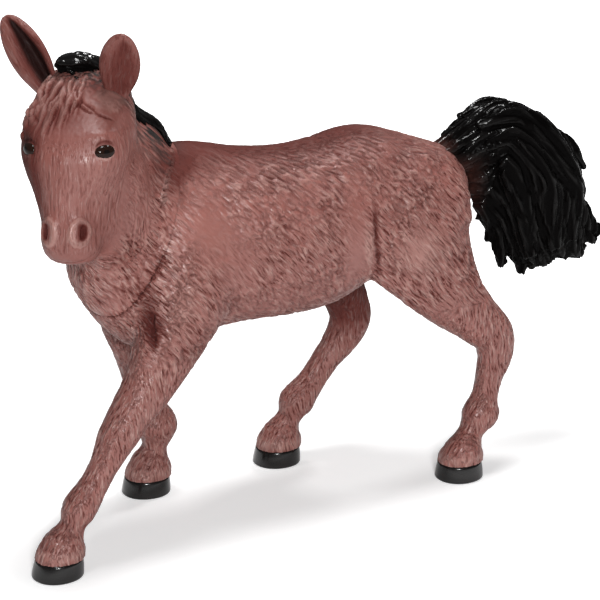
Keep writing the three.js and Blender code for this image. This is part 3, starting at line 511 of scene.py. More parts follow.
class Skin:
    """A closed skin of quads in millimetres, with what is needed to work on it."""

    def __init__(self, mesh):
        n = len(mesh.vertices)
        points = np.empty(3 * n, np.float32)
        mesh.vertices.foreach_get("co", points)
        self.p = points.reshape(-1, 3).astype(float)
        loops = np.empty(len(mesh.loops), np.int32)
        mesh.loops.foreach_get("vertex_index", loops)
        self.quads = loops.reshape(-1, 4)
        a, b, c, d = self.quads.T
        sides = np.concatenate([np.stack(s, 1) for s in ((a, b), (b, c), (c, d), (d, a))])
        self.edges = np.unique(np.sort(sides, 1), axis=0)
        self.across = np.concatenate([np.stack([a, c], 1), np.stack([b, d], 1)])
        self.count = np.bincount(self.edges.ravel(), minlength=n).astype(float)
        self.relief = np.zeros(n)
        self.refresh()
        bpy.data.meshes.remove(mesh)

    def refresh(self):
        """Works the normals out again after larger moves."""
        self.n = self.normals()

    def normals(self):
        """n = sum over a point's quads of (c - a) x (d - b), to unit length."""
        a, b, c, d = (self.p[self.quads[:, k]] for k in range(4))
        cross = np.cross(c - a, d - b)
        n = len(self.p)
        total = np.zeros((n, 3))
        for k in range(3):
            for corner in range(4):
                total[:, k] += np.bincount(self.quads[:, corner], cross[:, k], n)
        return unit(total)

    def gather(self, values, pairs=None, weights=None):
        """Sum of w v over each point's neighbours."""
        i, j = (self.edges if pairs is None else pairs).T
        w = 1.0 if weights is None else weights
        n = len(self.p)
        columns = values.reshape(n, -1)
        out = [np.bincount(i, w * c[j], n) + np.bincount(j, w * c[i], n) for c in columns.T]
        return np.stack(out, 1).reshape(values.shape)

    def mean(self, values):
        """Mean over each point's neighbours."""
        total = self.gather(values)
        return total / (self.count[:, None] if values.ndim > 1 else self.count)

    def blurred(self, values, rounds):
        """v = (v + mean) / 2, so many times."""
        for _ in range(rounds):
            values = (values + self.mean(values)) / 2
        return values

    def fillet(self, rounds, where):
        """Fills inside corners: p += 0.6 max(0, (mean - p) . n) n, so that nothing is worn down."""
        for step in range(rounds):
            if step % 6 == 0:
                n = self.normals()
            rise = np.maximum(0, ((self.mean(self.p) - self.p) * n).sum(1))
            self.p += (0.6 * where * rise)[:, None] * n

    def smooth(self, rounds):
        """Taubin: a step of +0.5 towards the mean and one of -0.53, which keeps the size."""
        for _ in range(rounds):
            for share in (0.5, -0.53):
                self.p += share * (self.mean(self.p) - self.p)

    def finer(self):
        """Each quad in four, on the Catmull-Clark surface."""
        mesh = raw_mesh("coarse", self.p, self.quads)
        return Skin(evaluated(mesh, "finer", "SUBSURF", levels=1, render_levels=1))

    def swell(self, at, size, height, turn=None):
        """A muscle or hollow: p += height exp(-q) n, q = the squared distance in the sizes given."""
        local = self.p - np.asarray(at, float)
        if turn is not None:
            local = local @ turn
        q = ((local / np.asarray(size, float)) ** 2).sum(1)
        near = q < 6
        self.p[near] += (height * np.exp(-q[near]))[:, None] * self.n[near]

    def nearness(self, path, width, steps=4, reach=4.0, taper=0.2):
        """exp(-(d / w)^2), with d the distance to a path in each point's own tangent plane and w the
        width, which runs in and out over the share `taper` of the path."""
        path = spline(path, steps)
        low, high = path.min(0) - reach, path.max(0) + reach
        near = np.flatnonzero(((self.p > low) & (self.p < high)).all(1))
        out = np.zeros(len(self.p))
        if not len(near):
            return out
        a, b = path[:-1], path[1:]
        lengths = np.linalg.norm(b - a, axis=1)
        before = np.concatenate([[0], np.cumsum(lengths)])
        p, n = self.p[near][:, None], self.n[near][:, None]
        t = np.clip(((p - a) * (b - a)).sum(-1) / (lengths**2), 0, 1)
        off = p - (a + t[..., None] * (b - a))
        depth = (off * n).sum(-1)
        flat = np.sqrt(np.maximum((off**2).sum(-1) - depth**2, 0))
        flat = np.where(np.abs(depth) < reach, flat, 99)
        best = flat.argmin(1)
        k = np.arange(len(near))
        s = (before[best] + t[k, best] * lengths[best]) / before[-1]
        share = smoothstep(s, 0, taper) * smoothstep(1 - s, 0, taper) if taper > 0 else 1.0
        w = width * (0.45 + 0.55 * share)
        out[near] = np.exp(-((flat[k, best] / w) ** 2)) * share
        return out

    def stroke(self, path, width, height, **options):
        """Carves (height below 0) or raises along a path, and notes it in the relief."""
        amount = height * self.nearness(path, width, **options)
        self.p += amount[:, None] * self.n
        self.relief += amount

    def comb(self, flow, rounds, seed, sharp=8.0, narrow=3):
        """Hair: seeded noise averaged over neighbours, each weighted by exp(sharp (cos^2 - 1)) with cos
        between the step and the hair's direction; the broad waves are taken out, and the rest is brought
        to one strength everywhere."""
        n = self.normals()
        flow = unit(flow - n * (flow * n).sum(1, keepdims=True))
        pairs = np.vstack([self.edges, self.across])
        i, j = pairs.T
        step = unit(self.p[j] - self.p[i])
        lie = ((step * flow[i]).sum(1) ** 2 + (step * flow[j]).sum(1) ** 2) / 2
        weights = np.exp(sharp * (lie - 1))
        noise = np.random.default_rng(seed).standard_normal(len(self.p))
        total = 0.2 + self.gather(np.ones(len(self.p)), pairs, weights)
        for _ in range(rounds):
            noise = (0.2 * noise + self.gather(noise, pairs, weights)) / total
        noise -= self.blurred(noise, narrow)
        return noise / np.sqrt(self.blurred(noise**2, 30))

    def raise_by(self, amount):
        """p += amount n with the present normals, noted in the relief."""
        self.p += amount[:, None] * self.normals()
        self.relief += amount


# Pieces
def open_edges(quads):
    """The half edges a to b that no other face meets as b to a."""
    a = quads.ravel()
    b = np.roll(quads, -1, axis=1).ravel()
    size = int(quads.max()) + 1
    alone = ~np.isin(a.astype(np.int64) * size + b, b.astype(np.int64) * size + a)
    return a[alone], b[alone]


def cut(skin, faces, at, axis):
    """Keeps the faces past a plane, and draws their edge onto it along the skin: p -= d g / (g . axis),
    with d the distance past the plane and g the part of the axis that lies in the skin."""
    d = (skin.p - at) @ axis
    faces = faces & (d[skin.quads] > 0).all(1)
    edge = np.unique(np.concatenate(open_edges(skin.quads[faces])))
    edge = edge[d[edge] < CUT_REACH]
    n = skin.normals()[edge]
    g = axis - n * (n @ axis)[:, None]
    skin.p[edge] -= g * (d[edge] / np.maximum(g @ axis, 0.2))[:, None]
    return faces


def piece(name, points, quads, body, nodes, material, normals=None, layers=None, caps=(), triangles=None):
    """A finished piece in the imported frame, its open edges closed by fans to the nearest of the caps."""
    triangles = np.empty((0, 3), int) if triangles is None else triangles
    corners = np.concatenate([quads.ravel(), triangles.ravel()])
    used, index = np.unique(corners, return_inverse=True)
    new_quads, fans = index[: quads.size].reshape(-1, 4), index[quads.size :].reshape(-1, 3)
    p = points[used]
    if len(caps):
        a, b = open_edges(new_quads)
        centres = np.asarray(caps, float)
        nearest = np.linalg.norm((p[a] + p[b])[:, None] / 2 - centres[None], axis=2).argmin(1)
        fans = np.stack([b, a, len(p) + nearest], 1)
        p = np.vstack([p, centres])
    mesh = raw_mesh(name, (p + SHIFT) / MM, new_quads, fans)
    mesh.polygons.foreach_set("use_smooth", np.ones(len(mesh.polygons), bool))
    for key, values in (layers or {}).items():
        wide = values.ndim > 1
        layer = mesh.attributes.new(key, "FLOAT_VECTOR" if wide else "FLOAT", "POINT")
        full = np.zeros((len(p), *values.shape[1:]), np.float32)
        full[: len(used)] = values[used]
        layer.data.foreach_set("vector" if wide else "value", full.ravel())
    if normals is not None:
        full = np.zeros((len(p), 3))
        full[: len(used)] = normals[used]
        full[len(used) :] = UP
        mesh.normals_split_custom_set_from_vertices(full.tolist())
    mesh.materials.append(material)
    obj = bpy.data.objects.new(name, mesh)
    bpy.context.scene.collection.objects.link(obj)
    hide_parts(*nodes)
    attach(obj, body)


def spots(points, table):
    """Sum of h exp(-q), q = the squared distance from each spot in its three sizes; a spot named with
    both sides is mirrored to the other side."""
    total = np.zeros(len(points))
    for at, size, height, mirrored in table:
        for side in BOTH if mirrored else (1,):
            local = (points - mirror(at, side)) / np.array(size)
            total += height * np.exp(-(local**2).sum(1))
    return total


def seam_groove(skin):
    """The lips of the seam roll in: p -= h exp(-(d / SEAM_LIP)^2) n, d the distance from its plane and h
    less where hair hides it higher up."""
    height = 0.3 - 0.26 * smoothstep(skin.p[:, 2], 72, 84)
    skin.raise_by(-height * np.exp(-((past_seam(skin.p) / SEAM_LIP) ** 2)))


# Small curled tufts where the mane ends, each a short raised lock over the seam
TUFT_LINE = [(-38.0, -3.4, 102.1), (-40.6, -7.3, 99.3), (-43.0, -9.6, 96.1), (-45.2, -11.4, 91.8)]
TUFTS = 9


def seam_tufts(skin):
    """Raised tufts, each at a slant across the line, with a groove beside it."""
    line = spline(TUFT_LINE, 12)
    step = heading(line)
    rng = np.random.default_rng(SEEDS["tufts"])
    for s in np.linspace(1, len(line) - 2, TUFTS) + rng.uniform(-0.8, 0.8, TUFTS):
        at, along = line[int(s)], step[int(s)]
        slant = np.array([0.8, -0.1, 0.5 + 0.2 * rng.standard_normal()])
        reach = (1.6 + 0.6 * rng.random()) * unit(slant)
        at = at + 0.35 * rng.standard_normal() * slant
        path = np.array([at - reach, at + 0.25 * UP, at + reach])
        skin.stroke(path, 0.75, 0.35 + 0.35 * rng.random(), taper=0.45)
        skin.stroke(path + 0.95 * along, 0.36, -0.5, taper=0.45)


# Body and legs: the fold before the thigh, and the one before the upper arm
FLANK = [(13.7, -16.4, 84.5), (13.8, -16.9, 80.5), (14.3, -17.1, 76.6), (15.0, -16.6, 72.2),
         (15.9, -15.2, 67.5), (16.7, -13.9, 62.7), (17.4, -12.7, 60.0)]
ARMPIT = [(-50.8, -14.9, 66.8), (-51.1, -15.9, 64.7), (-51.2, -16.9, 59.6), (-51.2, -18.5, 54.5)]
ARMPIT_FOLDS = [(1.8, -0.7), (0.5, -0.45)]  # a broad one and a sharp one in it: width, height
# Muscles and hollows: place, sizes along, across and up, and height
FETLOCK = ((52.5, -15.6, 16.8), (3.5, 5, 3.5), 1.3)  # back of the near hind one
BODY_SWELLS = [
    ((22, -10.0, 96), (7, 6, 5), 0.5),  # point of the hip
    ((-30, -3.0, 102), (9, 3, 3), 0.4),  # withers
    ((-39, -18, 62), (3, 6, 9), 0.4),  # front of the upper arm
    ((6, -17, 70), (7, 6, 10), -0.5),  # hollow before the flank
]


def near_seam(skin):
    """What runs over the seam, for the skins on both of its sides."""
    for side in BOTH:
        for width, height in ARMPIT_FOLDS:
            skin.stroke(mirror(ARMPIT, side), width, height, taper=0.4)
    seam_tufts(skin)


def fill_corners(skin):
    """Fillets where the limbs and the neck leave the body, rounder above than below."""
    z = skin.p[:, 2]
    skin.fillet(150, smoothstep(z, 60, 72))
    skin.fillet(14, smoothstep(z, 40, 56) * smoothstep(-z, -72, -60))


def body_skin():
    """Trunk, neck's base and legs in one skin, with its muscles and folds."""
    grids = [trunk_grid(), neck_grid()[:BODY_NECK_ROWS]] + [leg_grid(name) for name in LEGS]
    skin = fused(grids, BODY_VOXEL)
    fill_corners(skin)
    skin.smooth(5)
    skin = skin.finer()
    skin.swell(*FETLOCK)
    for side in BOTH:
        for at, size, height in BODY_SWELLS:
            skin.swell(mirror(at, side), size, height)
        skin.refresh()
        skin.stroke(mirror(np.array(FLANK) + [-2.4, 0, 0], side), 2.2, 0.2, taper=0.4)
        skin.stroke(mirror(FLANK, side), 0.8, -0.5, taper=0.45)
    near_seam(skin)
    return skin


# The coat's places, each with its sizes, its strength and whether it is on both sides: smooth ones
BODY_SMOOTH = [
    ((-33, -14, 84), (7.5, 9, 10), 0.75, True),
    ((-27, -16, 72), (7, 9, 8), 0.4, True),
    ((27, -19, 70), (4.5, 6, 5.5), 0.8, True),
    ((8.5, -17.5, 73), (4.0, 8, 13), 0.92, True),
    ((-10, 0, 104), (200, 8, 9), 0.8, False),
]
# Coarse ones
BODY_ROUGH = [((-51, 0, 73), (9, 22, 12), 0.8, False), ((26, -16, 76), (14, 10, 18), 0.3, True)]
# Airbrushed tone and painted light, below 0 for darker: painted shade in the folds, under the neck and belly
# and on the far hind leg, and painted highlights on the near haunch and shoulder
BODY_TONE_AND_LIGHT = [
    # darker along the top of the back
    ((-5, 0, 106), (45, 14, 11.5), -1.35, False),
    ((-44, -3, 100), (7, 8, 9), -0.5, True),
    # painted shade on the chest under the neck
    ((-54, 0, 72), (8, 16, 12), -0.42, False),
    # painted shade in the armpits
    ((-50.8, -15, 62), (2.4, 5, 11), -0.75, True),
    # painted shade in the flank folds
    ((14.2, -16.8, 79), (1.2, 4, 6), -0.8, True),
    ((-39.5, -8, 96), (2.5, 5, 6), -0.5, True),
    ((-36, -6, 99.5), (3.5, 4, 3), -0.6, True),
    # a paler band of paint just over the hooves
    ((0, 0, 6.6), (200, 200, 1.5), 0.3, False),
    # painted shade under the belly
    ((-5, 0, 47), (60, 16, 8), -0.8, False),
    # painted shade on the far hind leg
    ((24, 14, 57), (15, 9, 18), -1.7, False),
    # painted highlights on the near haunch, upper arm and shoulder
    ((28, -20, 69), (8, 8, 8), 0.35, False),
    ((-44, -20, 67), (5, 6, 8), 0.3, False),
    ((-33, -16, 84), (10, 8, 12), 0.15, False),
]
# Black dust round the tail's root and at the end of the mane
BODY_SOOT = [((50, 0, 91), (5, 9, 7), 0.8, False), ((-37, 0, 104), (3.0, 5, 4), 0.5, False)]
# Fixed directions that the moulded hair is drawn out along
LIES = unit(np.array([
    (0.64, 0, -0.76), (0.76, -0.5, -0.42), (0.76, 0.5, -0.42), (0.97, 0, -0.25), (0.6, 0.5, -0.62),
    (0.6, -0.5, -0.62), (0.12, 0, -1), (-0.45, 0, -0.9),
]))
LIE_OFFSET = 7.3  # sets the patterns of two directions apart


def coat_lie(p, n):
    """Shares of the fixed directions. The wanted way w (backwards and down at 50 degrees, outwards on the
    chest, down the legs) is laid flat on the skin, t = w - n (n . w), and each direction f counts
    exp(12 ((t . f)^2 - 1))."""
    chest = smoothstep(-p[:, 0], 34, 46) * smoothstep(-p[:, 2], -98, -84)
    leg = 1 - smoothstep(p[:, 2], 42, 58)
    want = np.stack([0.64 - 0.12 * chest, 0.4 * chest * np.tanh(p[:, 1] / 4), -0.76 + 0 * chest], 1)
    want += leg[:, None] * (-UP - want)
    flat = unit(want - n * (n * want).sum(1, keepdims=True))
    shares = np.exp(12 * ((flat @ LIES.T) ** 2 - 1)).T
    return shares / shares.sum(0)


def coat_relief(p, n):
    """The moulded hair of neck and body, from -1 to 1, the same on both sides of the seam."""
    shares, total = coat_lie(p, n), np.zeros(len(p))
    for k, (way, share) in enumerate(zip(LIES, shares)):
        some = share > 0.03
        total[some] += share[some] * strands(p[some], way, SEEDS["coat"] + k, COAT_HAIR)
    patches = 0.8 + 0.2 * np.tanh(1.6 * noise(p / 7, SEEDS["patches"]))
    return patches * np.tanh(1.25 * total / np.sqrt((shares**2).sum(0)))


def coat_height(p):
    """How far the moulded hair stands out: less on smooth places and down the legs."""
    lower = 1 - smoothstep(p[:, 2], 40, 58)
    return np.clip(1 - spots(p, BODY_SMOOTH) + 0.4 * spots(p, BODY_ROUGH), 0.12, 1.5) * (0.27 - 0.12 * lower)


def fine_lie(p, n):
    """For the finest hair, which the finish draws: the places in the hair's own measure for the
    direction with the largest share, and how much larger it is."""
    shares = coat_lie(p, n)
    best, lie = shares.argmax(0), np.zeros((len(p), 3))
    for k, way in enumerate(LIES):
        mine = best == k
        lie[mine] = drawn_out(p[mine], way, SEEDS["fine coat"] + k, FINE_COAT_HAIR) + LIE_OFFSET * k
    fine = np.clip(1 - spots(p, BODY_SMOOTH) + spots(p, BODY_ROUGH), 0.2, 2)
    return lie, np.clip(2.4 * shares.max(0) - 0.9, 0, 1) * fine


def body_finish(skin):
    """Moulded hair, the seam's lips and the coronets' edge: a groove above a low rim."""
    relief = coat_height(skin.p) * coat_relief(skin.p, skin.normals())
    seam_groove(skin)
    skin.raise_by(relief)
    z = skin.p[:, 2]
    skin.raise_by(-0.1 * np.exp(-(((z - 8.4) / 0.5) ** 2)) + 0.08 * np.exp(-(((z - 6.6) / 1.2) ** 2)))


def leg_share(p, name):
    """How far a point is the leg's: positive where it lies outside the trunk's oval and within reach of
    the leg's own rings."""
    top, bottom, half, level, ridge = columns(TRUNK, p[:, 0] / BODY_LENGTH)
    high, low = CROUP_HEIGHT * top, CROUP_HEIGHT * bottom
    mid = low + (high - low) * level
    v = np.where(p[:, 2] > mid, (p[:, 2] - mid) / (high - mid), (mid - p[:, 2]) / (mid - low))
    u = np.abs(p[:, 1]) / (BODY_WIDTH * half)
    power = np.where(p[:, 2] > mid, ridge, BELLY_POWER)
    outside = (u**power + np.maximum(v, 0) ** power) ** (1 / power) - 1.07
    table = spline(LEGS[name][0], 4)
    middle, reach = table[:, :3] * BODY, LEG * table[:, 3] / 2
    far = np.linalg.norm(p[:, None] - middle[None], axis=2) / reach[None]
    side = leg_side(name) * p[:, 1] - 1.5
    return np.minimum(np.minimum(outside * 4, 1.35 - far.min(1)), side)


def near_leg(p, name):
    """1 within reach of the leg's middle line, down to the ground, and 0 elsewhere."""
    rows, (hx, hy), _ = LEGS[name]
    table = spline([r[:3] for r in rows] + [[hx, hy, 0.0]], 4) * BODY
    far = np.min(np.linalg.norm(p[:, None, :] - table[None], axis=2), axis=1)
    return (far < LEG_REACH).astype(float)


def legs_and_body(skin, material):
    """The skin shared out between the torso and the legs, and cut at the seam and over the hooves."""
    p = skin.p
    lie, fine = fine_lie(p, skin.normals())
    # the tone layer holds airbrushed tone, painted shade and painted highlights
    layers = {"relief": skin.relief, "tone_and_light": spots(p, BODY_TONE_AND_LIGHT), "soot": spots(p, BODY_SOOT),
              "lie": lie, "fine": fine}
    below_seam = -past_seam(p) - SEAM_STRIP
    owner = np.zeros(len(p), int)
    for k, name in enumerate(LEGS, 1):
        share = leg_share(p, name)
        own_side = 0.5 * (leg_side(name) * p[:, 1] > 0) * near_leg(p, name)
        share = np.where(p[:, 2] < LEGS_ONLY, np.maximum(share, own_side), share)
        owner[np.minimum(skin.blurred(share, 8), below_seam) > 0] = k
    owners = owner[skin.quads].max(1)
    normals = skin.normals()
    seam = JOINT_AT - JOINT_AXIS * SEAM_GAP / 2
    torso = cut(skin, owners == 0, seam, -JOINT_AXIS)
    caps = [seam]
    for k, name in enumerate(LEGS, 1):
        faces = cut(skin, owners == k, CORONET * UP, UP)
        rim = skin.p[open_edges(skin.quads[faces])[0]]
        top = rim[rim[:, 2] > CORONET + 1].mean(0)
        inward = np.array([0, -leg_side(name), 0])
        hx, hy = LEGS[name][1]
        foot = np.array([hx * BODY_LENGTH, hy * BODY_WIDTH, CORONET])
        piece(name + "_leg_skin", skin.p, skin.quads[faces], "torso", [name + "_leg"], material,
              normals, layers, [top + inward * 3, foot])
        caps.append(top + inward * 5)
    piece("torso_skin", skin.p, skin.quads[torso], "torso", ["torso_shell"], material, normals, layers, caps)


# Head and neck
def face_path(points, side=1):
    """A path on the face from distances left and up."""
    l, u = np.array(points, float).T
    l = l * side
    return on_head(np.stack([on_face(l, u), l, u], 1))


# Bones and muscles of the head: left and up, sizes forward, left and up, height, and whether on both sides
HEAD_SWELLS = [
    ((8.6, 4.4), (3.4, 3.4, 1.8), 0.7, True),  # brow
    ((10.2, 0.9), (2.4, 2.4, 1.9), -0.45, True),  # eye socket
    ((9.0, -3.4), (2.6, 2.6, 1.8), 0.3, True),  # below the eye
    ((6.4, -9), (3.4, 2.4, 5), -0.4, True),  # side of the nose
    ((4.0, -18.8), (3.0, 2.4, 3.8), 0.55, True),  # nostril's bulge
    ((3.0, -24.4), (4.0, 4.0, 2.0), 0.3, True),  # upper lip
    ((0, -9), (3, 2.4, 12), 0.3, False),  # bridge of the nose
    ((0, -19), (3, 1.2, 5), -0.3, False),  # dip between the nostrils
    ((-11.0, 9.0), (5, 4.0, 5.0), 0.7, False),  # hair over the far temple
]
EAR_BASE = (np.array([-15.6, 8.2, 12.8]), (3.4, 3.0, 4.2), 1.0)  # in the head's frame
EAR_ROOT_FOLD = [(4.6, 16.0), (7.0, 13.4), (9.2, 10.6), (10.8, 8.4)]
MOUTH = [(6.4, -21.6), (6.3, -23.6), (4.6, -25.4), (2.4, -26.2), (0, -26.4), (-2.4, -26.2), (-4.6, -25.4),
         (-6.3, -23.6), (-6.4, -21.6)]
NOSTRIL_RIM = [(3.7, -15.9), (5.0, -16.8), (5.6, -18.7), (4.9, -21.0), (3.5, -21.7), (2.3, -20.3),
               (2.2, -17.6), (3.7, -15.9)]
NOSTRIL_SLIT = [(3.9, -17.0), (4.6, -17.9), (4.6, -19.7), (3.8, -20.6)]

# The eye lies on the skin with its own two directions: along the lids, towards the ear, and up
EYE = np.array([-3.4, 10.0, 0.7])
EYE_OUT = unit(np.array([0.72, 0.69, 0.08]))
EYE_ALONG = unit(np.array([-0.69, 0.72, 0.1]))
EYE_UP = np.cross(EYE_OUT, EYE_ALONG)


def lid_path(points, side):
    """A path round the eye from distances along and up its own two directions, bent round the ball:
    EYE + a EYE_ALONG + u EYE_UP - 0.045 (a^2 + u^2) EYE_OUT."""
    points = np.asarray(points, float)
    path = EYE + points[:, :1] * EYE_ALONG + points[:, 1:] * EYE_UP
    path = path - EYE_OUT * 0.045 * (points**2).sum(1, keepdims=True)
    return on_head(mirror(path, side))


UPPER_LID = [(-2.6, -0.7), (-1.8, 0.55), (-0.3, 1.3), (1.1, 1.15), (2.3, 0.2), (2.9, -0.5)]
LOWER_LID = [(-2.6, -0.7), (-1.3, -1.3), (0.2, -1.55), (1.7, -1.2), (2.8, -0.5)]
LID_CREASE = [(-2.8, 0.8), (-1.4, 2.1), (0.2, 2.5), (1.9, 2.0), (3.2, 0.8)]

# Lines on both sides of the face: kind of path, points, width, height, share that runs in and out
FACE_LINES = [
    (face_path, NOSTRIL_RIM, 0.65, 0.5, 0), (face_path, NOSTRIL_SLIT, 0.7, -1.4, 0.25),
    (lid_path, UPPER_LID, 0.42, 0.5, 0.15), (lid_path, LOWER_LID, 0.36, 0.3, 0.2),
    (lid_path, LID_CREASE, 0.3, -0.3, 0.3),
]
# Folds of the brow and the cheek: path, width, height
FURROWS = [
    ([(0.2, 13.2), (0.9, 11.8), (2.1, 10.7), (4.0, 9.8), (6.4, 9.1)], 0.3, -0.42),
    ([(0.9, 12.9), (2.4, 11.6), (4.4, 10.6), (6.4, 9.3), (8.8, 8.4), (11.0, 7.2)], 0.34, -0.48),
    ([(1.2, 12.1), (3.2, 10.9), (5.4, 9.8), (7.6, 8.6)], 0.4, 0.22),
    ([(3.4, 12.9), (6.2, 11.6), (9.4, 10.2)], 0.7, -0.16),
]


def forelock(skin):
    """Wavy hair that falls over the brow to the far temple, each lock raised beside a groove:
    l(t) = start + (end - start) t^0.8 + two waves, u(t) = top - length t."""
    rng = np.random.default_rng(SEEDS["forelock"])
    t = np.linspace(0, 1, 10)
    for share in np.arange(FORELOCK_LOCKS) / (FORELOCK_LOCKS - 1):
        start = -8.6 + 9.4 * share + rng.normal(0, 0.4)
        end = -13.2 + 14.6 * share + rng.normal(0, 0.6)
        top = 18.6 - 5.5 * rng.random()
        length = (5.5 + 10 * rng.random()) * (0.5 + 0.5 * np.sin(np.pi * share**0.8))
        phase = 6.3 * rng.random()
        sway = 0.42 * np.sin(4.2 * t + phase) + 0.16 * np.sin(11 * t + 2 * phase)
        path = np.stack([start + (end - start) * t**0.8 * length / 13 + sway, top - length * t], 1)
        width = 0.32 + 0.34 * rng.random()
        skin.stroke(face_path(path), width, 0.2 + 0.2 * rng.random(), taper=0.5)
        skin.stroke(face_path(path + [1.5 * width, 0]), 0.6 * width, -0.18 - 0.3 * rng.random(), taper=0.5)


def temple_hair(skin):
    """Short curls at the far temple, where the hair hangs over the eye."""
    rng = np.random.default_rng(SEEDS["temple"])
    for _ in range(TEMPLE_CURLS):
        l, u = rng.uniform(-14.0, -9.5), rng.uniform(1.5, 14.5)
        lean = rng.uniform(-0.6, 0.9)
        path = [(l, u), (l + 0.5 * lean + 0.4, u - 1.2), (l + lean, u - 2.6)]
        skin.stroke(face_path(path), 0.6, 0.45, taper=0.4)
        skin.stroke(face_path(np.array(path) + [0.9, 0.2]), 0.35, -0.35, taper=0.4)


def neck_strands(skin):
    """Long strands that leave the mane and lie down the neck: columns of the neck's own grid, whose
    crest is the column at a quarter of a round."""
    grid = neck_grid()
    rng = np.random.default_rng(SEEDS["neck"])
    for side in BOTH:
        for k in range(NECK_STRANDS):
            first, last = 28 - rng.integers(0, 6), 18 + rng.integers(0, 3)
            rows = np.linspace(first, last, 9).round().astype(int)
            wave = 0.3 * np.sin(np.linspace(0, 5, 9) + 6.3 * rng.random())
            turn = NECK_SIDES / 4 + side * (1.0 + 0.5 * k + wave)
            low = np.floor(turn).astype(int)
            share = (turn - low)[:, None]
            path = grid[rows, low] * (1 - share) + grid[rows, low + 1] * share
            fade = 1 - 0.07 * k
            skin.stroke(path, 0.5 + 0.25 * rng.random(), 0.5 * fade, taper=0.35, steps=3)
            skin.stroke(path + [0.3, 0, -0.9], 0.35, -0.4 * fade, taper=0.4, steps=3)


def head_skin():
    """Head, jowl, neck and what lies behind the seam in one skin, with the face's features and hair."""
    front = next(k for k, row in enumerate(TRUNK) if row[0] > HEAD_TRUNK_END)
    grids = [trunk_grid()[: STEPS * front], neck_grid()]
    grids += [head_grid(HEAD, NECK_SIDES, HEAD_POWER), head_grid(JOWL, JOWL_SIDES, JOWL_POWER)]
    grids += [leg_grid(name)[:HEAD_LEG_ROWS] for name in ("front_left", "front_right")]
    skin = fused(grids, HEAD_VOXEL)
    fill_corners(skin)
    skin.fillet(60, smoothstep(past_seam(skin.p), 5, 12))
    skin.smooth(5)
    skin = skin.finer()
    for place, size, height, mirrored in HEAD_SWELLS:
        for side in BOTH if mirrored else (1,):
            skin.swell(face_path([place], side)[0], size, height, HEAD_TURN)
    skin.refresh()
    at, size, height = EAR_BASE
    for side in BOTH:
        skin.swell(on_head(mirror(at, side)), size, height, HEAD_TURN)
    skin.refresh()
    for side in BOTH:
        for kind, points, width, height, taper in FACE_LINES:
            skin.stroke(kind(points, side), width, height, taper=taper)
    skin.stroke(face_path(EAR_ROOT_FOLD), 3.0, 0.55, taper=0.45)
    forelock(skin)
    temple_hair(skin)
    for path, width, height in FURROWS:
        skin.stroke(face_path(path), width, height, taper=0.3)
    skin.stroke(face_path(MOUTH), 0.42, -0.16, taper=0.3)
    skin.refresh()
    neck_strands(skin)
    near_seam(skin)
    return skin


# Airbrushed tone and painted light in the head's frame: painted shade on the far side of the face, under the
# jaw, at the ears' roots and over the eyes, and painted highlights on the nose and the near cheek
HEAD_TONE_AND_LIGHT = [
    # painted shade down the far side of the face and round the far eye
    ((-4, -12, -6), (5, 4, 13), -1.3, False),
    ((-5, -10.5, 2.5), (3, 3, 3.5), -0.9, False),
    ((-2.6, -8.6, -7), (3, 2.6, 10), -0.6, False),
    # painted shade between the tuft and the near ear
    ((-15, 4.0, 15), (3, 2.5, 4), -0.9, False),
    ((-20, 13, -2), (8, 5, 14), -0.25, False),
    # painted shade under the jaw
    ((-16, 0, -20), (9, 9, 6), -0.6, False),
    # painted shade at the ears' roots
    ((-14, 8, 12), (3.5, 4, 4), -0.6, True),
    ((-6, -3, 9), (6, 8, 7), -0.4, False),
    # dark paint in the nostrils, which also stands in for the shade in them
    ((-1.8, 4.3, -18.8), (1.6, 1.0, 2.4), -1.0, True),
    ((-0.8, 2.3, -18.8), (1.0, 0.8, 2.6), 0.35, True),
    ((-3.6, 9.9, -1.3), (2.0, 2.6, 0.7), 0.6, True),
    # painted shadow of the upper lids
    ((-4.0, 10.0, 2.4), (2.0, 2.6, 0.7), -0.5, True),
    # painted highlights on the bridge of the nose and the near cheek
    ((-1, 0, -12), (3, 3, 9), 0.1, False),
    ((-3, 7, -5), (4, 3.5, 5), 0.15, False),
]


def head_finish(skin):
    """Moulded hair on the head and neck; gives back the layers that the paint reads."""
    p = skin.p
    h = head_frame(p)
    n = skin.normals()
    face = smoothstep(h[:, 0], -19, -8)
    seam = past_seam(p)
    near = 1 - smoothstep(seam, 2, 9) * smoothstep(p[:, 2], 84, 100)
    head_up, rows = HEAD_TURN[:, 2], neck_rows()
    down = np.tanh(strands(p, -head_up, SEEDS["face"], FACE_HAIR))
    mane = strands(p, rows[0, :3] - rows[-1, :3], SEEDS["crest"], CREST_HAIRS)
    coat = coat_relief(p, n)
    seam_groove(skin)
    crest = skin.nearness(rows[:, :3], 11.0, reach=12.0, taper=0) * (1 - face) * smoothstep(seam, 1, 6)
    skin.raise_by(face * (0.05 * down + 0.02 * np.tanh(noise(p / 2.2, SEEDS["pores"]))))
    coat *= (1 - face) * (0.5 + 0.5 * near) * coat_height(p) * (1 - crest)
    skin.raise_by(coat + 0.2 * crest * np.tanh(mane))
    dust = 1.3 * crest * smoothstep(mane, -1.0, 0.7)
    lie, fine = fine_lie(p, n)
    on_neck = (1 - face) * (1 - smoothstep(p[:, 2], 99, 107))
    # airbrushed tone with painted shade and painted highlights
    tone_and_light = spots(h, HEAD_TONE_AND_LIGHT) - 0.36 * face + on_neck * spots(p, BODY_TONE_AND_LIGHT)
    face_lie = drawn_out(p, -head_up, SEEDS["fine face"], FINE_FACE_HAIR)
    lie = np.where(face[:, None] > 0.5, face_lie, lie)
    steep = smoothstep(np.abs(n @ head_up), 0.3, 0.6)
    fine = np.where(face > 0.5, 0.45 * (1 - steep), fine) * np.clip(4 * np.abs(face - 0.5), 0, 1)
    return {"relief": skin.relief, "tone_and_light": tone_and_light, "soot": dust, "lie": lie, "fine": fine}


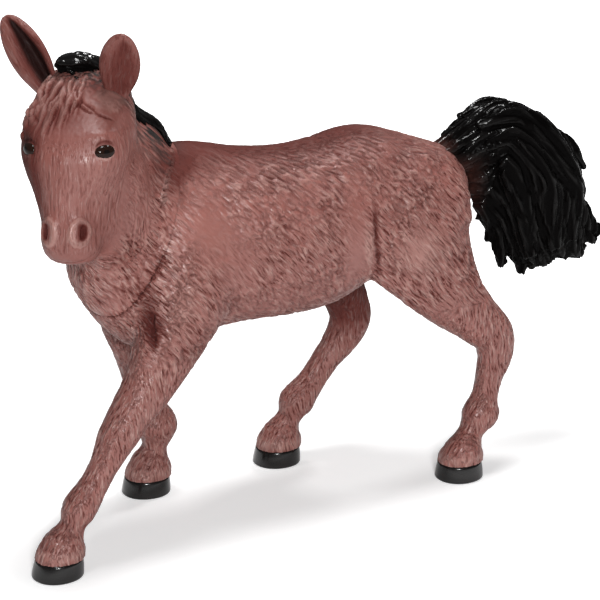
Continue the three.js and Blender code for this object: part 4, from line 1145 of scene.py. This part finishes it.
def head_piece(skin, layers, material):
    """The head's skin, cut at the seam."""
    normals = skin.normals()
    at = JOINT_AT + JOINT_AXIS * SEAM_GAP / 2
    faces = cut(skin, np.ones(len(skin.quads), bool), at, JOINT_AXIS)
    piece("head_skin", skin.p, skin.quads[faces], "head", ["head_and_neck"], material, normals, layers, [at])


def ear_piece(name, material):
    """A leaf of rings up the ear, x = W t, behind y = -T sqrt(1 - t^2) and in front
    y = T sqrt(1 - t^2) - G exp(-((t - c) / w)^2), with a hollow of depth G that leaves the wall standing."""
    side, lean, facing, long, broad, (centre, spread, deep, tone_and_light) = EAR_POSES[name]
    root = head_place((-0.6, 0.74, 0.245), side)
    along = unit(HEAD_TURN @ np.array(lean, float))
    out = HEAD_TURN @ np.array(facing, float)
    out = unit(out - along * (out @ along))
    wide = np.cross(along, out)
    rows = spline(EAR, EAR_STEPS)
    s, half, thick = rows[:, :1], rows[:, 1:2] * broad * EAR_WIDTH / 2, rows[:, 2:3] * EAR_THICKNESS / 2
    a = np.linspace(0, np.pi, EAR_SIDES)
    t = -np.cos(a)
    opened = smoothstep(s, 0.03, 0.22) * smoothstep(1 - s, 0.0, 0.14)
    pinch = 0.45 + 0.55 * smoothstep(1 - s, 0.0, 0.6)
    groove = opened * np.exp(-(((t - centre) / (spread * pinch)) ** 2))
    back = -thick * np.sin(a)
    front = np.maximum(thick * np.sin(a) - deep * thick * groove, back + EAR_WALL * np.sin(a) ** 0.5)
    across = np.concatenate([t * half, (t * half)[:, -2:0:-1]], 1)
    forward = np.concatenate([back, front[:, -2:0:-1]], 1)
    shade = np.concatenate([0 * back, groove[:, -2:0:-1]], 1)
    middle = root + along * EAR_LENGTH * long * s
    grid = middle[:, None] + across[..., None] * wide + forward[..., None] * out
    points, quads, ends = closed(grid)
    shade = np.concatenate([shade.ravel(), [0, 0]])
    # the hollow is darker: dark paint, which also stands in for the shade that falls in it
    layers = {"relief": -0.1 * shade, "tone_and_light": tone_and_light * shade - 0.5, "soot": 0 * shade,
              "lie": drawn_out(points, along, SEEDS["fine ear"], FINE_FACE_HAIR), "fine": 0.5 + 0 * shade}
    piece(name + "_ear_skin", points, quads, "head", [name + "_ear"], material, layers=layers, triangles=ends)


def eye_piece(name, side, material):
    """A lens of rings r sin(a) (cos b, sin b) and depth d cos(a), with its axis out of the skin."""
    a = np.linspace(0.02, np.pi - 0.02, EYE_RINGS)
    b = 2 * np.pi * np.arange(EYE_SIDES) / EYE_SIDES
    broad, tall = EYE_LENGTH * np.sin(a)[:, None] * np.cos(b), EYE_TALL * np.sin(a)[:, None] * np.sin(b)
    ring = np.stack([broad, tall, EYE_DEPTH * np.cos(a)[:, None] + 0 * b], -1)
    local = EYE - EYE_OUT * EYE_SINK + ring @ np.stack([EYE_ALONG, EYE_UP, EYE_OUT], 0)
    grid = on_head(mirror(local, side))
    points, quads, ends = closed(grid if side > 0 else grid[:, ::-1])
    look = np.concatenate([np.repeat(np.cos(a), EYE_SIDES), [1, -1]])
    piece(name + "_eye_ball", points, quads, "head", [name + "_eye"], material, layers={"look": look},
          triangles=ends)


# Mane, tail and hooves
def hair_block(table, steps, sides):
    """Rings square to a path, from rows of its place, depth and width."""
    rows = spline(table, steps)
    return limb_grid(rows[:, :3], rows[:, 3], rows[:, 4], np.zeros(len(rows)), sides, HAIR_POWER)


def mane_table():
    """The tuft between the ears and the hair on the crest: place, height, width."""
    tuft = [[*head_place(at), MANE_HEIGHT * h, MANE_WIDTH * w] for at, h, w in TUFT]
    rows, crest = neck_rows(), []
    for row, rise, high, wide in CREST_HAIR:
        c, t = rows[row, :3], rows[row, 3:6]
        crest.append([*(c + unit(c - t) * MANE_HEIGHT * rise), MANE_HEIGHT * high, MANE_WIDTH * wide])
    return np.array(tuft + crest)


def mane_skin():
    """A block along the crest with locks that fall to both sides of it:
    line + out (0.5 + 2.6 t drop) + up (1.1 - 3.4 t^1.4 drop)."""
    table = mane_table()
    grids = [hair_block(table * [1, 1, 1, *MANE_CORE], STEPS, MANE_SIDES)]
    line = spline(table[:, :3], 12)
    step = heading(line)
    rng = np.random.default_rng(SEEDS["mane"])
    last = len(line) - 1
    for k, s in enumerate(np.linspace(0.0, 0.86, MANE_LOCKS)):
        first = int(s * last)
        side = -1 if k % 2 else 1
        size = 1 - 0.35 * smoothstep(s, 0.6, 0.9)
        count = min(first + int(13 + 9 * rng.random()), last) - first
        if count < 4:
            continue
        index = np.linspace(first, first + count, 5).round().astype(int)
        t = np.linspace(0, 1, 5)[:, None]
        out = unit(np.cross(step[index], UP)) * side
        drop = (0.35 + 0.9 * rng.random()) * size
        path = line[index] + out * (0.5 + 2.6 * t * drop) + UP * (1.1 - 3.4 * t**1.4 * drop)
        path += rng.normal(0, 0.16, path.shape)
        grids.append(lock_grid(path, 1.7 * size, 1.1 * size, (0, side, 0.5)))
    skin = fused(grids, MANE_VOXEL)
    skin.smooth(2)
    skin.raise_by(0.5 * smoothstep(skin.normals()[:, 2], -0.2, 0.6))
    return skin


# Ends that stand free of the fan's edge, each with its width
TAIL_ENDS = [
    ([(84, -2, 74), (89, -2.2, 67), (94, -2.4, 62.5), (98.6, -2, 59.2)], 4.2),
    ([(82, -3, 70), (88, -3.2, 62), (93.5, -3.2, 57.5), (97.2, -3, 55.8)], 4.0),
    ([(82, -1, 66), (87, -1.2, 59), (91, -1.2, 55.2), (94.2, -1, 53.6)], 3.8),
    ([(80, -3, 64), (83.5, -3.4, 57), (86.8, -3, 52.0)], 4.2),
    ([(77, -2, 62), (79.2, -2, 56), (80.4, -2, 50.8)], 4.4),
    ([(72, -3, 64), (72.4, -3.2, 57), (71.2, -3, 50.3)], 4.6),
    ([(71, -1, 66), (68.4, -1, 61), (65.0, -1, 56.4)], 4.4),
    ([(63, -2, 78), (62, -2.2, 70), (60.4, -2, 61.6)], 4.2),
    ([(66, -2, 74), (65, -2.4, 66), (64.5, -2.4, 59), (65.5, -2, 53.5)], 6.5),
    ([(60, -1, 82), (58.8, -1, 74), (57.4, -1, 67.8)], 3.6),
    ([(76, -3, 92), (82, -3.2, 88.8), (87.4, -3, 84.6), (91.4, -3, 78.0)], 3.6),
    ([(80, -1, 86), (87, -1.2, 81), (91.6, -1, 74), (92.6, -1, 67.4)], 3.8),
    ([(76, 1, 64), (78, 1, 57), (77.4, 1, 51.6)], 3.8),
]


def tail_paths():
    """Locks from the root over the arch and down the fan, spread across its width and on both faces:
    middle + 0.9 u deep edge + (0.86 wide sqrt(1 - (0.93 u)^2) + 0.8 over a main lock) y, where deep and
    wide are the fan's half sizes."""
    rng = np.random.default_rng(SEEDS["tail"])
    core = np.array(TAIL)
    paths = []
    for k in range(TAIL_STRANDS):
        across = rng.uniform(-1, 1)  # front to back edge of the fan
        face = -1 if k % 3 else 1  # two on the near face for one on the far face
        start, stop = rng.integers(0, 4), rng.integers(7, 10)
        rows = core[start : stop + 1]
        middle = rows[:, :3] * BODY
        deep, wide = TAIL_WIDTH * rows[:, 3] / 2, TAIL_THICKNESS * rows[:, 4] / 2
        edge = unit(np.cross(ACROSS, heading(middle)))
        sway = 0.09 * np.sin(np.linspace(0, 6, len(rows)) + 6.3 * rng.random())
        u = np.clip(across + sway, -1, 1)
        bulge = np.sqrt(np.clip(1 - (0.93 * u) ** 2, 0.05, 1))
        path = middle + edge * (0.9 * u * deep)[:, None]
        lump = np.exp(-(((u[:, None] - MAIN_LOCKS) / 0.2) ** 2)).sum(1)
        path[:, 1] += face * (wide * bulge * 0.86 + 0.8 * lump)
        path += rng.normal(0, 0.22, path.shape) * [1, 0.6, 1]
        paths.append((path, 1.8 + 1.2 * rng.random(), 1.3 + 0.7 * rng.random(), (0, face, 0), (0.25, 0.06)))
    for path, width in TAIL_ENDS:
        paths.append((np.array(path, float), width, 0.62 * width, (0, -1, 0), (0.3, 0.35)))
    return paths


def main_lock(depth_share, side):
    """Rows of the fan moved to the edge of its oval: middle + deep d D / 2 + side (W sqrt(1 - d^2) / 2
    + LOCK_RISE - thickness / 2) along y."""
    rows = np.array(TAIL)[2:9]
    middle = rows[:, :3] * BODY
    deep = unit(np.cross(ACROSS, np.gradient(middle, axis=0)))
    taper = 1 - 0.4 * np.abs(np.linspace(-1, 1, len(rows)))
    middle = middle + deep * (TAIL_WIDTH * rows[:, 3] * depth_share / 2)[:, None]
    bulge = TAIL_THICKNESS * rows[:, 4] * np.sqrt(1 - depth_share**2) / 2
    middle[:, 1] += side * (bulge + LOCK_RISE - LOCK_THICKNESS * taper / 2)
    return np.column_stack([middle, LOCK_WIDTH * taper, LOCK_THICKNESS * taper])


def tail_skin():
    """The fan, its free and main locks and the strands over them in one skin."""
    core = np.array(TAIL) * [*BODY, TAIL_WIDTH * TAIL_CORE[0], TAIL_THICKNESS * TAIL_CORE[1]]
    grids = [hair_block(core, TAIL_STEPS, TAIL_SIDES)]
    free = [*BODY, TAIL_WIDTH * LOCK_CORE, TAIL_THICKNESS * LOCK_CORE]
    grids += [hair_block(np.array(table) * free, TAIL_STEPS, MAIN_LOCK_SIDES) for table in TAIL_LOCKS]
    for side in BOTH:
        grids += [hair_block(main_lock(share, side), TAIL_STEPS, MAIN_LOCK_SIDES) for share in MAIN_LOCKS]
    grids += [lock_grid(*path) for path in tail_paths()]
    skin = fused(grids, TAIL_VOXEL)
    skin.smooth(2)
    return skin


def tail_flow(p):
    """Along the nearest part of the tail's middle line, swayed by 0.22 sin(z / 4.2 + x / 6)."""
    line = spline(np.array(TAIL)[:, :3] * BODY, TAIL_STEPS)
    near = np.argmin(((p[:, None, [0, 2]] - line[None][:, :, [0, 2]]) ** 2).sum(-1), axis=1)
    wave = 0.22 * np.sin(p[:, 2] / 4.2 + p[:, 0] / 6.0)
    return heading(line)[near] + np.stack([wave, 0 * wave, 0 * wave], 1)


def mane_flow(p):
    """Along the mane's own path and a little down its sides."""
    line = spline(mane_table()[:, :3], 4)
    near = np.argmin(((p[:, None] - line[None]) ** 2).sum(-1), axis=1)
    side = np.sign(p[:, 1:2] - line[near, 1:2])
    return heading(line)[near] + np.concatenate([0 * side, 0.25 * side, 0 * side - 0.25], 1)


def hair_piece(name, skin, flow, amount, body, node, material, seed):
    """Broad lumps and fine combed hair on a skin of locks."""
    lumps = np.tanh(skin.comb(flow, 50, seed + 2, sharp=6.0, narrow=12))
    comb = np.tanh(1.2 * skin.comb(flow, 26, seed, sharp=9.0)) + 0.3 * skin.comb(flow, 12, seed + 1, narrow=1)
    skin.raise_by(amount * (1.8 * lumps + 0.7 * comb))
    piece(name, skin.p, skin.quads, body, [node], material, skin.normals(), {"relief": skin.relief})


# Hoof: share of the height, share of the flare, inset
HOOF_ROWS = [(0.0, 0.78, 0), (0.035, 0.95, 0), (0.09, 1.0, 0), (0.3, 0.86, 0), (0.5, 0.66, 0), (0.7, 0.4, 0),
             (0.82, 0.2, 0.05), (0.88, 0.1, 0.5), (1.0, 0.0, 0.6)]


def hoof_piece(name, material):
    """Level rings from the sole up: u long heel, v broad, leaning forwards as they rise, with a shallow
    cleft 1 - 0.1 exp(-(angle / 0.22)^2) at the heel."""
    _, (hx, hy), turn = LEGS[name]
    lean = hoof_lean(name)
    table = spline(HOOF_ROWS, HOOF_STEPS)
    table[:, 0] = np.clip(table[:, 0], 0, 1)
    u, v = oval(HOOF_SIDES, LEG_POWER)
    up, flare, inset = (table[:, k : k + 1] for k in range(3))
    narrower = HOOF_FLARE * (1 - flare)
    long, broad = HOOF_LENGTH / 2 - narrower - inset, HOOF_WIDTH / 2 - narrower - inset
    heel = np.where(u > 0, 0.88, 1.0)
    cleft = 1 - 0.1 * np.exp(-((np.arctan2(v, u) / 0.22) ** 2))
    x, y = u * long * heel * cleft, v * broad
    c, s = math.cos(math.radians(turn)), math.sin(math.radians(turn))
    grid = np.stack([(hx + lean * up) * BODY_LENGTH + x * c - y * s, hy * BODY_WIDTH + x * s + y * c,
                     HOOF_HEIGHT * up + 0 * x], -1)
    points, quads, ends = closed(grid)
    piece(name + "_hoof_wall", points, quads, "torso", [name + "_hoof"], material, triangles=ends)


# Finishes, with the colours of the paints first
# The rubbed colour is dry-brushed paint and painted highlight; the wash colours are a dark red paint wash and
# painted shade
PAINT, RUBBED_AND_HIGHLIGHT, WASH_AND_SHADE = (0.25, 0.089, 0.073, 1), (0.44, 0.25, 0.215, 1), (0.068, 0.0105, 0.008, 1)
DARKEST_WASH_AND_SHADE, SOOT = (0.006, 0.0015, 0.0012, 1), (0.02, 0.017, 0.016, 1)
HAIR_BLACK, HAIR_WORN = (0.0018, 0.0015, 0.0015, 1), (0.006, 0.0052, 0.005, 1)
HAIR_MOTTLE, HAIR_ROOT = (0.0035, 0.003, 0.0028, 1), (0.12, 0.045, 0.036, 1)
HOOF_BLACK, HOOF_WORN = (0.003, 0.0028, 0.0028, 1), (0.009, 0.0075, 0.007, 1)
IRIS, PUPIL, EYE_FLECK = (0.013, 0.006, 0.004, 1), (0.003, 0.003, 0.003, 1), (0.03, 0.014, 0.01, 1)
WHITE, FLOOR_PALE, FLOOR_PALER = (1, 1, 1, 1), (0.86, 0.86, 0.86, 1), (0.88, 0.88, 0.88, 1)
SKY = (0.11, 0.11, 0.112, 1)


class Nodes:
    """Short words for building a node tree."""

    def __init__(self, tree):
        self.tree = tree

    def add(self, kind, values=None, **settings):
        node = self.tree.nodes.new(kind)
        for key, value in settings.items():
            setattr(node, key, value)
        for key, value in (values or {}).items():
            if isinstance(value, bpy.types.NodeSocket):
                self.tree.links.new(value, node.inputs[key])
            else:
                node.inputs[key].default_value = value
        return node

    def math(self, operation, a, b=0.0, clamp=False):
        return self.add("ShaderNodeMath", {0: a, 1: b}, operation=operation, use_clamp=clamp).outputs[0]

    def plus(self, a, b, clamp=False):
        return self.math("ADD", a, b, clamp)

    def times(self, a, b, clamp=False):
        return self.math("MULTIPLY", a, b, clamp)

    def mix(self, share, a, b, kind="MIX"):
        return self.add("ShaderNodeMix", {0: share, 6: a, 7: b}, data_type="RGBA", blend_type=kind).outputs[2]

    def ramp(self, value, low, high):
        """0 below low, 1 above high, smooth between; turned over where low is above high."""
        node = self.add("ShaderNodeMapRange", {0: value, 1: low, 2: high}, interpolation_type="SMOOTHSTEP")
        return node.outputs[0]

    def attribute(self, name):
        return self.add("ShaderNodeAttribute", attribute_name=name).outputs["Fac"]

    def bump(self, strength, distance, height):
        """A normal from a height over the surface."""
        node = self.add("ShaderNodeBump", {"Strength": strength, "Distance": distance, "Height": height})
        return node.outputs[0]

    def apart(self, vector):
        """The three parts of a vector."""
        return self.add("ShaderNodeSeparateXYZ", {0: vector}).outputs

    def noise(self, scale, detail=3.0, rough=0.5, vector=None):
        vector = self.add("ShaderNodeTexCoord").outputs["Object"] if vector is None else vector
        return self.add("ShaderNodeTexNoise", {"Vector": vector, "Scale": scale, "Detail": detail,
                                               "Roughness": rough}).outputs[0]


def group(name, inputs, outputs, build):
    """A shader group whose named sockets are given by kind, built by a function."""
    tree = bpy.data.node_groups.new(name, "ShaderNodeTree")
    for way, table in (("INPUT", inputs), ("OUTPUT", outputs)):
        for kind, keys in table.items():
            for key in keys:
                tree.interface.new_socket(key, in_out=way, socket_type="NodeSocket" + kind)
    nodes = Nodes(tree)
    start = nodes.add("NodeGroupInput").outputs
    results = build(nodes, start)
    nodes.add("NodeGroupOutput", results)
    return tree


def paint(nodes, given):
    """Airbrushed paint: a mottled coat, dark red wash in the grooves and between the finest hairs that is
    also painted shade, lighter on the ridges as dry-brushed paint and painted highlight, darker and lighter
    by the tone layer, which holds airbrushed tone, painted shade and painted highlights, and dusted with
    black."""
    times, plus, mix, ramp = nodes.times, nodes.plus, nodes.mix, nodes.ramp
    relief, tone_and_light, rubbed_and_highlight, wash_and_shade = given["Relief"], given["Tone_and_light"], given["Rubbed_and_highlight"], given["Wash_and_shade"]
    broad, fine = nodes.noise(90, 2), nodes.noise(520, 3, 0.6)
    shade = plus(plus(times(broad, 0.3), times(fine, 0.2)), 0.76)
    coat = mix(1.0, given["Paint"], shade, "MULTIPLY")
    # lighter on the raised hair: dry-brushed paint and painted highlight
    coat = mix(times(ramp(relief, 0.03, 0.22), 0.5), coat, rubbed_and_highlight)
    # the finest hairs: dark lines between them are painted shade, their light ridges painted highlights
    hair = nodes.noise(1.0, 2, 0.55, given["Lie"])
    line = times(ramp(hair, 0.46, 0.34), given["Fine"])
    ridge = times(ramp(hair, 0.53, 0.66), given["Fine"])
    coat = mix(times(ridge, 0.55, True), coat, rubbed_and_highlight)
    # darker in the grooves: a paint wash and painted shade
    groove = plus(ramp(relief, -0.02, -0.24), ramp(relief, -0.22, -0.5))
    deep = plus(times(groove, 0.62), times(line, 0.85), True)
    coat = mix(times(deep, 0.85), coat, wash_and_shade)
    # darker and lighter by the tone layer: airbrushed paint, painted shade and painted highlights
    dark = ramp(tone_and_light, -0.05, -1.0)
    coat = mix(times(dark, 0.8), coat, wash_and_shade)
    coat = mix(times(ramp(tone_and_light, -1.0, -3.0), 0.9), coat, DARKEST_WASH_AND_SHADE)
    coat = mix(times(ramp(tone_and_light, 0.0, 0.5), 0.4), coat, rubbed_and_highlight)
    dust = times(given["Soot"], plus(times(fine, 0.7), 0.6), True)
    coat = mix(dust, coat, SOOT)
    dull = plus(dark, plus(deep, dust), True)
    rough = plus(plus(times(nodes.noise(300, 2), 0.2), 0.27), times(dull, 0.3))
    height = plus(nodes.math("SUBTRACT", ridge, line), times(nodes.noise(3200, 2, 0.6), 0.08))
    shine = plus(times(ridge, 0.35, True), 0.65)
    shine = nodes.math("SUBTRACT", shine, times(dull, 0.5), True)
    return {"Color": coat, "Roughness": rough, "Height": height, "Shine": shine}


def new_material(name):
    """An empty material and its tree."""
    material = bpy.data.materials.new(name)
    material.use_nodes = True
    material.node_tree.nodes.clear()
    return material, Nodes(material.node_tree)


def new_finish(name, slot):
    """A material of the figure's own, with the slot that it stands for."""
    material, nodes = new_material(name)
    material["slot"] = slot
    return material, nodes


def finish_material(nodes, values):
    """The shader with its values and sockets, and the output."""
    shader = nodes.add("ShaderNodeBsdfPrincipled", values)
    nodes.add("ShaderNodeOutputMaterial", {"Surface": shader.outputs[0]})


def vinyl_material(coat):
    """The airbrushed coat, with its painted shade and highlights, over the layers that the skins carry."""
    material, nodes = new_finish("brown vinyl paint", "brown_vinyl")
    layers = {key: nodes.attribute(key.lower()) for key in ("Relief", "Tone_and_light", "Soot", "Fine")}
    lie = nodes.add("ShaderNodeAttribute", attribute_name="lie").outputs["Vector"]
    look = nodes.add("ShaderNodeGroup", node_tree=coat)
    for key, socket in {**layers, "Lie": lie}.items():
        nodes.tree.links.new(socket, look.inputs[key])
    for key, colour in (("Paint", PAINT), ("Rubbed_and_highlight", RUBBED_AND_HIGHLIGHT), ("Wash_and_shade", WASH_AND_SHADE)):
        look.inputs[key].default_value = colour
    finish_material(nodes, {
        "Base Color": look.outputs["Color"], "Roughness": look.outputs["Roughness"],
        "Normal": nodes.bump(0.8, 0.00022, look.outputs["Height"]),
        "Specular IOR Level": look.outputs["Shine"],
        "Subsurface Weight": 0.04, "Subsurface Radius": (0.002, 0.0008, 0.0006), "Subsurface Scale": 0.5,
    })
    return material


def hair_material():
    """Black paint, brown at the tail's root, with gloss on the ridges that face upwards."""
    material, nodes = new_finish("black hair paint", "black_hair")
    times, plus, mix, ramp = nodes.times, nodes.plus, nodes.mix, nodes.ramp
    relief, fine = nodes.attribute("relief"), nodes.noise(700, 3)
    coat = mix(times(ramp(relief, 0.0, 0.3), 0.5), HAIR_BLACK, HAIR_WORN)
    coat = mix(times(fine, 0.3), coat, HAIR_MOTTLE)
    place = nodes.apart(nodes.add("ShaderNodeTexCoord").outputs["Object"])
    x = plus(place[0], times(fine, 0.004))
    low = times(ramp(x, 0.054, 0.04), ramp(place[2], 0.09, 0.08))
    brown = nodes.math("MAXIMUM", ramp(x, 0.044, 0.034), low)
    brown = times(brown, ramp(x, 0.0, 0.01))
    coat = mix(times(brown, 0.75), coat, HAIR_ROOT)
    up = nodes.apart(nodes.add("ShaderNodeNewGeometry").outputs["Normal"])[2]
    gloss = times(ramp(relief, -0.1, 0.3), ramp(up, 0.05, 0.6))
    gloss = plus(times(gloss, 0.65), times(ramp(relief, 0.1, 0.5), 0.22))
    finish_material(nodes, {
        "Base Color": coat, "Roughness": plus(times(fine, 0.16), 0.2),
        "Normal": nodes.bump(0.1, 0.0001, nodes.noise(2600, 2)), "Specular IOR Level": 0.02,
        "Coat Weight": gloss, "Coat Roughness": 0.12,
    })
    return material


def hoof_material():
    """Glossy black paint, a little worn."""
    material, nodes = new_finish("black hoof paint", "black_hoof")
    fine = nodes.noise(500, 3)
    finish_material(nodes, {
        "Base Color": nodes.mix(fine, HOOF_BLACK, HOOF_WORN),
        "Roughness": nodes.plus(nodes.times(fine, 0.14), 0.14),
        "Normal": nodes.bump(0.08, 0.0001, nodes.noise(1500, 2)), "Specular IOR Level": 0.2,
        "Coat Weight": 0.7, "Coat Roughness": 0.18,
    })
    return material


def eye_material():
    """Gloss paint: dark brown, with a black pupil where the lens looks straight out."""
    material, nodes = new_finish("gloss eye paint", "eye_gloss")
    coat = nodes.mix(nodes.ramp(nodes.attribute("look"), 0.93, 0.97), IRIS, PUPIL)
    coat = nodes.mix(nodes.times(nodes.noise(1500, 2), 0.2), coat, EYE_FLECK)
    finish_material(nodes, {"Base Color": coat, "Roughness": 0.12, "Specular IOR Level": 0.08,
                            "Coat Weight": 0.16, "Coat Roughness": 0.05})
    return material


def floor_material():
    """A pale floor that the camera sees a little brighter than it lights the figure, and white far out."""
    material, nodes = new_material("studio floor")
    seen = nodes.add("ShaderNodeLightPath").outputs["Is Camera Ray"]
    place = nodes.add("ShaderNodeTexCoord").outputs["Object"]
    away = nodes.add("ShaderNodeVectorMath", {0: place}, operation="LENGTH").outputs["Value"]
    glow = nodes.plus(nodes.times(nodes.ramp(away, 0.088, 0.2), 0.6), 0.33)
    finish_material(nodes, {
        "Base Color": nodes.mix(nodes.noise(3, 2), FLOOR_PALE, FLOOR_PALER), "Roughness": 0.9,
        "Specular IOR Level": 0.0, "Emission Color": WHITE, "Emission Strength": nodes.times(seen, glow),
    })
    return material


# Studio and camera, in metres: 30 degrees from the side and 20 degrees up
TARGET = (np.array([0, -2.1, 55.0]) + SHIFT) / MM
BACK = np.array([-0.469846, -0.813798, 0.34202])
CAMERA_DISTANCE, CAMERA_NEAR, CAMERA_FAR = 0.65, 0.05, 20
LENS, SENSOR = 146.25, 36.0  # in millimetres
FLOOR_REACH, FLOOR_SUNK = 3, 0.0001
# Softboxes: name, place, size, power, what they point at
SOFTBOXES = [
    ("top softbox", (0.03, 0.05, 1.1), 0.3, 7.5, (0, 0, 0.03)),
    ("front softbox", (-0.42, -0.95, 0.5), 0.17, 9.5, (0, 0, 0.06)),
    ("back strip", (0.55, 0.2, 0.9), 0.12, 2.4, (0.05, 0, 0.08)),
]


def look_at(obj, at, target):
    """Puts a camera or lamp at a place and turns it to a target."""
    direction = Vector(tuple(np.asarray(target) - np.asarray(at)))
    obj.location = tuple(at)
    obj.rotation_euler = direction.to_track_quat("-Z", "Y").to_euler()


def studio():
    """Camera, pale floor, softboxes and a world that is white to the camera and dim to the figure."""
    scene = bpy.context.scene
    camera = bpy.data.objects.new("camera", bpy.data.cameras.new("camera"))
    camera.data.lens, camera.data.sensor_width = LENS, SENSOR
    camera.data.clip_start, camera.data.clip_end = CAMERA_NEAR, CAMERA_FAR
    scene.collection.objects.link(camera)
    look_at(camera, TARGET + BACK * CAMERA_DISTANCE, TARGET)
    scene.camera = camera
    corners = np.array([(-1, -1, 0), (1, -1, 0), (1, 1, 0), (-1, 1, 0)], float) * FLOOR_REACH
    mesh = raw_mesh("floor", corners, np.array([[0, 1, 2, 3]]))
    mesh.materials.append(floor_material())
    floor = bpy.data.objects.new("floor", mesh)
    floor.location.z = -FLOOR_SUNK
    scene.collection.objects.link(floor)
    for name, at, size, power, target in SOFTBOXES:
        light = bpy.data.lights.new(name, "AREA")
        light.shape, light.size, light.energy = "SQUARE", size, power
        obj = bpy.data.objects.new(name, light)
        look_at(obj, at, target)
        scene.collection.objects.link(obj)
    world = bpy.data.worlds.new("studio")
    world.use_nodes = True
    world.node_tree.nodes.clear()
    nodes = Nodes(world.node_tree)
    seen = nodes.add("ShaderNodeLightPath").outputs["Is Camera Ray"]
    back = nodes.add("ShaderNodeBackground", {"Color": nodes.mix(seen, SKY, WHITE), "Strength": 1.0})
    nodes.add("ShaderNodeOutputWorld", {"Surface": back.outputs[0]})
    scene.world = world
    scene.view_settings.view_transform = "Standard"


# The figure
# the coat's paint, with painted shade in its grooves and creases and painted highlights on its ridges
coat = group(
    "airbrushed coat and painted light",
    {"Float": ("Relief", "Tone_and_light", "Soot", "Fine"), "Vector": ("Lie",), "Color": ("Paint", "Rubbed_and_highlight", "Wash_and_shade")},
    {"Color": ("Color",), "Float": ("Roughness", "Height", "Shine")},
    paint,
)
vinyl, hair, horn, gloss = vinyl_material(coat), hair_material(), hoof_material(), eye_material()

body = body_skin()
body_finish(body)
legs_and_body(body, vinyl)
face = head_skin()
head_piece(face, head_finish(face), vinyl)
for name, side in (("left", 1), ("right", -1)):
    ear_piece(name, vinyl)
    eye_piece(name, side, gloss)
mane = mane_skin()
hair_piece("mane_hair", mane, mane_flow(mane.p), MANE_RELIEF, "head", "mane", hair, SEEDS["mane comb"])
tail = tail_skin()
hair_piece("tail_hair", tail, tail_flow(tail.p), TAIL_RELIEF, "torso", "tail", hair, SEEDS["tail comb"])
for name in LEGS:
    hoof_piece(name, horn)
studio()
